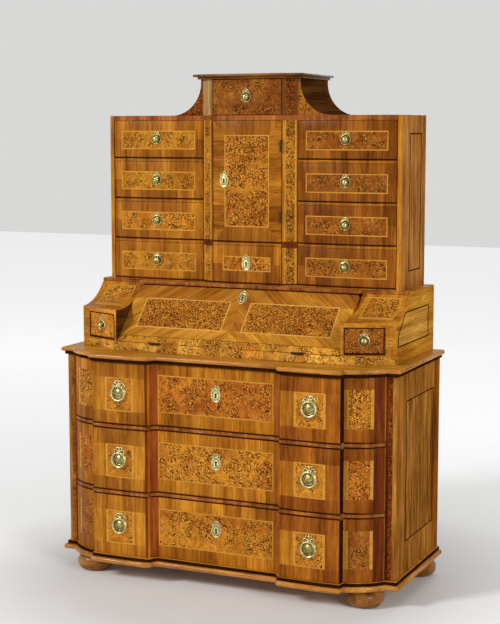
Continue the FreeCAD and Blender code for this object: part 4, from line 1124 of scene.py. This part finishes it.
def in_head_or_foot(middle):
    """True in the level bands of the door, which end in mitres."""
    side_reach = min(middle.x - low.x, high.x - middle.x) / DOOR_BAND[0]
    end_reach = min(middle.z - low.z, high.z - middle.z) / DOOR_BAND[1]
    return end_reach < side_reach


lay(door, walnut["head_band"], FRONT, where=in_head_or_foot)
lay(door, stringing, FRONT, x=door_x, z=door_z)
lay(door, burl["eyed"], FRONT, x=inner_x, z=inner_z)
finished(door)
print("door:", round(high.x - low.x), "x", round(high.z - low.z))

# %% Upper case
PILASTER_LINES = (143.5, 147, 175, 179)
PILASTER_GAPS = ((130, 136.5), (182.5, 187))
PILASTER_DEPTH = 45
SILL_BAND = (1190, 1212)
UPPER_FIELD_Y = (120, 252)
UPPER_FIELD_Z = (1113, 1593)
COLUMN_GAP = 3
UPPER_INSIDE = 500
SHELF_FRONT = 60
TOP_BOARD_Z = (1637, 1656)
PEDIMENT_POST = (133, 185.5)
SHOULDER = (185.5, 330)
upper_sides = framed_side("upper_sides", UPPER_FIELD_Y, UPPER_FIELD_Z, walnut["grey"], walnut["grey"])
column_end = span_of("column_drawer_right_1")[1].x + COLUMN_GAP
score(upper_sides, x=both(column_end))
lay(upper_sides, walnut["upright"], FRONT)
# Painted shadow on the strip beside the column drawers
lay(upper_sides, line, FRONT, across=(UPPER_INSIDE, column_end))
finished(upper_sides)
columns = [f"column_drawer_{side}_{number}" for side in SIDES for number in (1, 2, 3, 4)]


def on_shelf_edge(middle):
    """True on the front edges of the shelves, but for the painted shadow lines below the drawers."""
    return middle.y < SHELF_FRONT and not in_painted_shade(middle.z, columns)


shelves = shaded_rails("upper_shelves", columns, walnut["level"], ease=1.2)
lay(shelves, walnut["column_band"], FRONT, where=on_shelf_edge)
lay(shelves, walnut["rail"], FRONT, z=TOP_BOARD_Z)
finished(shelves)
ahead = nearer_than(PILASTER_DEPTH)


def pilasters(node):
    """Canted pilasters with a burr strip between two fillets and a painted shadow line along each edge, for the
    shade of the gap.
    """
    piece = copy_of(node, walnut["level"], ease=0.8)
    score(piece, x=both(*PILASTER_LINES, PILASTER_GAPS[0][1], PILASTER_GAPS[1][0]), z=SILL_BAND)
    lay(piece, walnut["upright"], FRONT, where=ahead)
    lay(piece, stringing, FRONT, across=(PILASTER_LINES[0], PILASTER_LINES[3]), where=ahead)
    lay(piece, burl["strip"], FRONT, across=(PILASTER_LINES[1], PILASTER_LINES[2]), where=ahead)
    lay(piece, walnut["cove"], FRONT, z=SILL_BAND, where=ahead)
    # Painted shadow along each edge of the pilaster
    for gap in PILASTER_GAPS:
        lay(piece, line, FRONT, across=gap, where=ahead)
    return piece


finished(pilasters("upper_partitions"))
pediment = pilasters("pediment_case")
lay(pediment, walnut["dark"], across=SHOULDER)
lay(pediment, burl["post"], FRONT, x=mirrored(SHOULDER), where=ahead)
lay(pediment, burl["dark"], FRONT, x=SHOULDER, where=ahead)
# Painted light: a pale tan paints the sheen on the left post, and a dim tint paints the shade on the right post
lay(pediment, walnut["painted_sheen_tan"], FRONT, x=mirrored(PEDIMENT_POST), where=ahead)
lay(pediment, walnut["dusky"], FRONT, x=PEDIMENT_POST, where=ahead)
lay(pediment, burl["post"], FRONT, x=(PILASTER_LINES[1], PILASTER_LINES[2]), where=ahead)
finished(pediment)
finished(copy_of("cornice", walnut["umber"], ease=0.6), angle=32)
finished(copy_of("back_boards", pine_boards))
print("upper cabinet dressed")

# %% [markdown]
# ## Brass: turned pieces
# Plates, rosettes and knobs are round castings turned on a lathe. A disc is the start: its front is extruded
# and scaled again and again, one step for each rim, hollow or swell of the profile. Every piece is made at
# the origin, facing forward, and then stood in its place. Holes are carved out with a boolean.


# %% Turned pieces
FACE_FRONT = (math.radians(90), 0, 0)
FACE_SIDE = (0, math.radians(90), 0)


def lathe(name, profile, finish, sides=56):
    """Turn a round piece from its back to its tip: each step is a radius and a distance forward."""
    radius, reach = profile[0]
    start = (0, -reach * MM, 0)
    bpy.ops.mesh.primitive_circle_add(
        vertices=sides, radius=radius * MM, fill_type="NGON", location=start, rotation=FACE_FRONT
    )
    piece = bpy.context.object
    piece.name = name
    bpy.ops.object.transform_apply(location=True, rotation=True, scale=True)
    mode("EDIT")
    bpy.ops.mesh.select_all(action="SELECT")
    for next_radius, next_reach in profile[1:]:
        step = (0, (reach - next_reach) * MM, 0)
        bpy.ops.mesh.extrude_region_move(TRANSFORM_OT_translate={"value": step})
        share = next_radius / radius
        bpy.ops.transform.resize(value=(share, 1, share), center_override=(0, 0, 0))
        radius, reach = next_radius, next_reach
    bpy.ops.mesh.select_all(action="SELECT")
    bpy.ops.mesh.normals_make_consistent(inside=False)
    mode("OBJECT")
    piece.data.materials.append(finish)
    return piece


def rod(sides, radius, length, place, turn):
    """A plain rod to carve with, in millimetres."""
    bpy.ops.mesh.primitive_cylinder_add(
        vertices=sides, radius=radius * MM, depth=length * MM, location=Vector(place) * MM, rotation=turn
    )
    return bpy.context.object


def carve(piece, tools):
    """Cut the shapes of some tools out of a piece, and put the tools away."""
    for tool in tools:
        shaped(piece, "BOOLEAN", object=tool, operation="DIFFERENCE", solver="EXACT")
        bpy.data.objects.remove(tool)


def pick(piece, test):
    """Go to edit mode with only the points selected whose place, in millimetres, passes a test."""
    bpy.context.tool_settings.mesh_select_mode = BY_POINT
    mode("EDIT")
    bpy.ops.mesh.select_all(action="DESELECT")
    mode("OBJECT")
    for point in piece.data.vertices:
        point.select = test(point.co / MM)
    mode("EDIT")


def stand(piece, place, scale=(1, 1, 1), tilt=0.0, swing=0.0):
    """Scale, tilt and swing a piece, and put it in its place, given in millimetres."""
    only(piece)
    piece.scale = scale
    piece.rotation_euler = (tilt, 0, swing)
    piece.location = Vector(place) * MM
    bpy.ops.object.transform_apply(location=True, rotation=True, scale=True)
    return piece


PLATE_PROFILE = [
    (27, 0), (27, 1.0), (26.4, 1.7), (25.2, 1.9), (24.2, 1.6), (23.4, 1.0), (20.2, 0.9), (19.4, 1.5), (18.8, 2.7),
    (17.8, 3.3), (16.8, 3.1), (16.2, 2.8), (13.8, 4.3), (10.6, 5.8), (7, 7), (3.5, 7.7), (0.6, 7.9),
]
POST_PROFILE = [
    (6.2, 0.8), (6.2, 2.2), (5.4, 2.9), (4.2, 3.4), (3.9, 4.2), (4.6, 5.2), (5.2, 6.8), (5.4, 8.5), (5.2, 10.2),
    (4.5, 11.8), (3.2, 13), (1.6, 13.6), (0.4, 13.8),
]
KNOB_PROFILE = [
    (19, 0), (19, 2.8), (18.4, 4.0), (17.2, 4.5), (16.2, 4.1), (15.4, 2.9), (13.8, 2.2), (8.4, 2.2), (7.2, 3.0),
    (5.4, 3.6), (5.0, 5.2), (5.6, 7.4), (8.2, 9.2), (9.8, 11), (10, 12.4), (9.2, 14.2), (7.2, 15.8), (4.4, 17),
    (1, 17.5),
]
OVAL_PROFILE = [
    (18, 0), (18, 0.9), (17.5, 1.8), (16.4, 2.2), (15.2, 2.0), (14.4, 1.2), (11, 1.0), (10.2, 1.5), (9.2, 1.7),
    (0.5, 1.8),
]
profiles = (PLATE_PROFILE, POST_PROFILE, KNOB_PROFILE, OVAL_PROFILE)
print("turned profiles:", [len(profile) for profile in profiles])

# %% [markdown]
# ## Brass: the pierced crown
# Every plate carries a small crown of open loops. Loops are rings, the tips are beads, and a voxel remesh melts
# them into one casting with rounded joints and real holes. One crown is modelled, and its copies are scaled.

# %% Pierced crown
LOOPS = (
    (-13.6, 29.6, 6.4, 1.75), (13.6, 29.6, 6.4, 1.75), (-6.6, 38.4, 5.6, 1.6), (6.6, 38.4, 5.6, 1.6),
    (-20.8, 24.0, 3.8, 1.5), (20.8, 24.0, 3.8, 1.5), (0, 31.0, 3.6, 1.6),
)
BEADS = (
    (-24.0, 28.6, 2.2), (24.0, 28.6, 2.2), (-18.4, 36.0, 2.0), (18.4, 36.0, 2.0), (-11.0, 44.4, 2.0),
    (11.0, 44.4, 2.0), (0, 43.2, 2.6), (0, 46.6, 2.1),
)
LOOP_Y = -1.6
BEAD_Y = -1.8
VOXEL = 0.62
parts = []
for x, z, radius, wire in LOOPS:
    bpy.ops.mesh.primitive_torus_add(
        location=Vector((x, LOOP_Y, z)) * MM,
        rotation=FACE_FRONT,
        major_segments=28,
        minor_segments=10,
        major_radius=radius * MM,
        minor_radius=wire * MM,
    )
    parts.append(bpy.context.object)
for x, z, radius in BEADS:
    place = Vector((x, BEAD_Y, z)) * MM
    bpy.ops.mesh.primitive_uv_sphere_add(segments=14, ring_count=10, radius=radius * MM, location=place)
    parts.append(bpy.context.object)
crown = joined(parts, "crown_pattern")
only(crown)
bpy.ops.object.transform_apply(location=True, rotation=True, scale=True)
shaped(crown, "REMESH", mode="VOXEL", voxel_size=VOXEL * MM)
shaped(crown, "SMOOTH", iterations=3)
crown.data.materials.clear()
crown.data.materials.append(brass)
finished(crown, angle=60)
print("crown faces:", len(crown.data.polygons))

# %% [markdown]
# ## Brass: escutcheons
# The keyhole is cut with a boolean: a round hole over a slot that widens downwards. The cut stops short of the
# wood, and its floor gets a painted shadow, which stands in for the shade deep inside the keyhole.

# %% Escutcheon
HOLE_Y = -3.4
HOLE_Z = 4
HOLE_RADIUS = 4.2
SLOT_Z = -3.6
KEYHOLE_DEPTH = 6
SLOT_SIZE = (4.4, KEYHOLE_DEPTH, 12)
SLOT_SPREAD = 1.5
OVAL_RISE = 25 / 18
KEYHOLE_FLOOR = (-0.6, -0.2)
KEYHOLE_HALF = (0, 8)
CROWN_SEAT = {"place": (0, 0, 5.6), "scale": (0.64, 0.8, 0.64)}
hole = rod(24, HOLE_RADIUS, KEYHOLE_DEPTH, (0, HOLE_Y, HOLE_Z), FACE_FRONT)
bpy.ops.mesh.primitive_cube_add(size=1, location=Vector((0, HOLE_Y, SLOT_Z)) * MM, scale=Vector(SLOT_SIZE) * MM)
slot = bpy.context.object
bpy.ops.object.transform_apply(location=True, rotation=True, scale=True)
pick(slot, lambda point: point.z < SLOT_Z)
bpy.ops.transform.resize(value=(SLOT_SPREAD, 1, 1), center_override=(0, 0, 0))
mode("OBJECT")
plate = stand(lathe("escutcheon_pattern", OVAL_PROFILE, brass), (0, 0, 0), scale=(1, 1, OVAL_RISE))
carve(plate, (hole, slot))
# Painted shadow on the keyhole floor, in place of the shade inside the hole
lay(plate, shadow, FRONT, y=KEYHOLE_FLOOR, across=KEYHOLE_HALF)
seat = stand(twin(crown, "escutcheon_crown"), **CROWN_SEAT)
escutcheon = finished(joined([plate, seat], "escutcheon_pattern"), angle=35)
print("escutcheon faces:", len(escutcheon.data.polygons))

# %% [markdown]
# ## Brass: ring handles and knobs
# A handle is a domed plate with its crown and a round-headed post, which is bored crosswise so the ring can turn
# in it. The ring is heavier at its foot, as wear and casting leave it: a proportional scale swells it there.

# %% Handle, ring and knob
RING_RADIUS = 26
RING_SEAT = 8.5
RING_WIRE = 2.6
RING_SIDES = 96
WIRE_SIDES = 18
FOOT_SWELL = (1, 1.4, 1.35)
SWELL_REACH = 24
FOOT_Z = -22
FOOT_HALF = 3
BORE_RADIUS = 3.25
BORE_LENGTH = 20
KNOB_SEAT = {"place": (0, 0, 4.2), "scale": (0.52, 0.7, 0.52)}
# The plate takes the darker brass: tarnish and painted shade
plate = lathe("handle_pattern", PLATE_PROFILE, brass_tarnish_and_shade)
post = stand(lathe("post_pattern", POST_PROFILE, brass, 32), (0, 0, RING_RADIUS))
carve(post, [rod(28, BORE_RADIUS, BORE_LENGTH, (0, -RING_SEAT, RING_RADIUS), FACE_SIDE)])
handle = finished(joined([plate, post, twin(crown, "handle_crown")], "handle_pattern"), angle=35)

bpy.ops.mesh.primitive_torus_add(
    rotation=FACE_FRONT,
    major_segments=RING_SIDES,
    minor_segments=WIRE_SIDES,
    major_radius=RING_RADIUS * MM,
    minor_radius=RING_WIRE * MM,
)
ring = bpy.context.object
ring.name = "ring_pattern"
bpy.ops.object.transform_apply(location=True, rotation=True, scale=True)
pick(ring, lambda point: point.z < FOOT_Z and abs(point.x) < FOOT_HALF)
bpy.ops.transform.resize(
    value=FOOT_SWELL,
    center_override=(0, 0, -RING_RADIUS * MM),
    use_proportional_edit=True,
    proportional_edit_falloff="SMOOTH",
    proportional_size=SWELL_REACH * MM,
)
mode("OBJECT")
ring.data.materials.append(brass)
finished(ring, angle=60)

# The rosette and knob take the darker brass: tarnish and painted shade
rosette = lathe("knob_pattern", KNOB_PROFILE, brass_tarnish_and_shade)
seat = stand(twin(crown, "knob_crown"), **KNOB_SEAT)
knob = finished(joined([rosette, seat], "knob_pattern"), angle=35)
print("handle, ring and knob faces:", [len(item.data.polygons) for item in (handle, ring, knob)])

# %% [markdown]
# ## Fittings in place
# Each copy takes the place of its CAD node, read from the node's box. Locks and hinges keep their CAD shape:
# the part of the node that is remade in brass is deleted from the copy, and the rest gets iron.

# %% Fittings in place
BLOCK_STAND = 37
ESCUTCHEON_LIFT = 12
SMALL = (0.94, 0.9, 0.94)
PROUD = 0.1
CHEST_LOCK_Y = -235


def kept_part(node, finish, keep):
    """The faces of a CAD node that pass a test, as an eased copy."""
    piece = merged_copy(node, finish)
    without(piece, lambda face: not keep(face.center / MM))
    eased(piece, 0.5)
    return finished(piece, angle=40)


for number in CHEST_BURL:
    node = f"chest_fittings_{number}"
    pieces = [kept_part(node, iron, lambda middle: middle.y > CHEST_LOCK_Y)]
    for side in SIDES:
        ring_node = f"chest_ring_{side}_{number}"
        low, high = span_of(ring_node)
        centre = (low + high) / 2
        pieces.append(stand(twin(handle, "handle"), (centre.x, centre.y + RING_SEAT, centre.z)))
        adopt(stand(twin(ring, f"{ring_node}_dressed"), centre), ring_node)
    place = (0, centre.y + RING_SEAT + BLOCK_STAND, centre.z + ESCUTCHEON_LIFT)
    pieces.append(stand(twin(escutcheon, "chest_escutcheon"), place))
    adopt(joined(pieces, f"{node}_dressed"), node)
print("chest fittings in place")

# %% Knobs and small escutcheons
KNOB_RADIUS = 19
KNOB_NODES = [f"column_knob_{side}_{number}" for side in SIDES for number in (1, 2, 3, 4)] + ["pediment_knob"]
for node in KNOB_NODES:
    low, high = span_of(node)
    place = ((low.x + high.x) / 2, high.y, low.z + KNOB_RADIUS)
    adopt(stand(twin(knob, f"{node}_dressed"), place), node)
CANT = 69 / 176
DESK_KNOB_Z = 901
for side, sign in SIDES.items():
    node = f"desk_knob_{side}"
    low, high = span_of(f"desk_drawer_{side}")
    place = ((low.x + high.x) / 2, low.y + CANT * (high.x - low.x) / 2 - PROUD, DESK_KNOB_Z)
    adopt(stand(twin(knob, f"{node}_dressed"), place, swing=sign * math.atan(CANT)), node)

BAY_SILL = 1063
BAY_FRONT = 10.5
LOCK_Y = 20
low, high = span_of("bay_drawer")
place = (0, low.y - PROUD, (BAY_SILL + high.z) / 2)
plate = stand(twin(escutcheon, "bay_escutcheon"), place, scale=SMALL)
lock = kept_part("bay_drawer_fittings", iron, lambda middle: middle.y > LOCK_Y)
adopt(joined([lock, plate], "bay_drawer_fittings_dressed"), "bay_drawer_fittings")

DOOR_LOCK_IN = 44
DOOR_HINGE_X = 100
low, high = span_of("door_panel")
lock_x = low.x + DOOR_LOCK_IN
reach = (high.x - low.x) / 2
aside = lock_x - (low.x + high.x) / 2
bow = BAY_FRONT - low.y
place = (lock_x, BAY_FRONT - bow * (1 - aside * aside / reach / reach) - PROUD, (low.z + high.z) / 2)
swing = math.atan(2 * bow * aside / reach / reach)
plate = stand(twin(escutcheon, "door_escutcheon"), place, scale=SMALL, swing=swing)
rest = kept_part("door_fittings", iron, lambda middle: middle.x > DOOR_HINGE_X or middle.y > LOCK_Y)
adopt(joined([rest, plate], "door_fittings_dressed"), "door_fittings")

ESCUTCHEON_DROP = 42
FALL_SKIN = -2
FALL_LOCK_HALF = 40
place = on_fall(fall_length - ESCUTCHEON_DROP) + Vector(FALL_OUT) * PROUD
plate = stand(twin(escutcheon, "fall_escutcheon"), place, scale=SMALL, tilt=-math.atan2(fall_up.y, fall_up.z))


def is_fall_plate(middle):
    """True for the plate outside the fall, which the brass escutcheon takes the place of."""
    outside = (middle - on_fall(0)).dot(Vector(FALL_OUT)) > FALL_SKIN
    return outside and abs(middle.x) < FALL_LOCK_HALF


rest = kept_part("fall_fittings", iron, lambda middle: not is_fall_plate(middle))
adopt(joined([rest, plate], "fall_fittings_dressed"), "fall_fittings")
finished(copy_of("fixed_hinges", iron, ease=0), angle=40)
for pattern in (crown, escutcheon, handle, ring, knob):
    bpy.data.objects.remove(pattern)
print("knobs, escutcheons and hinges in place")
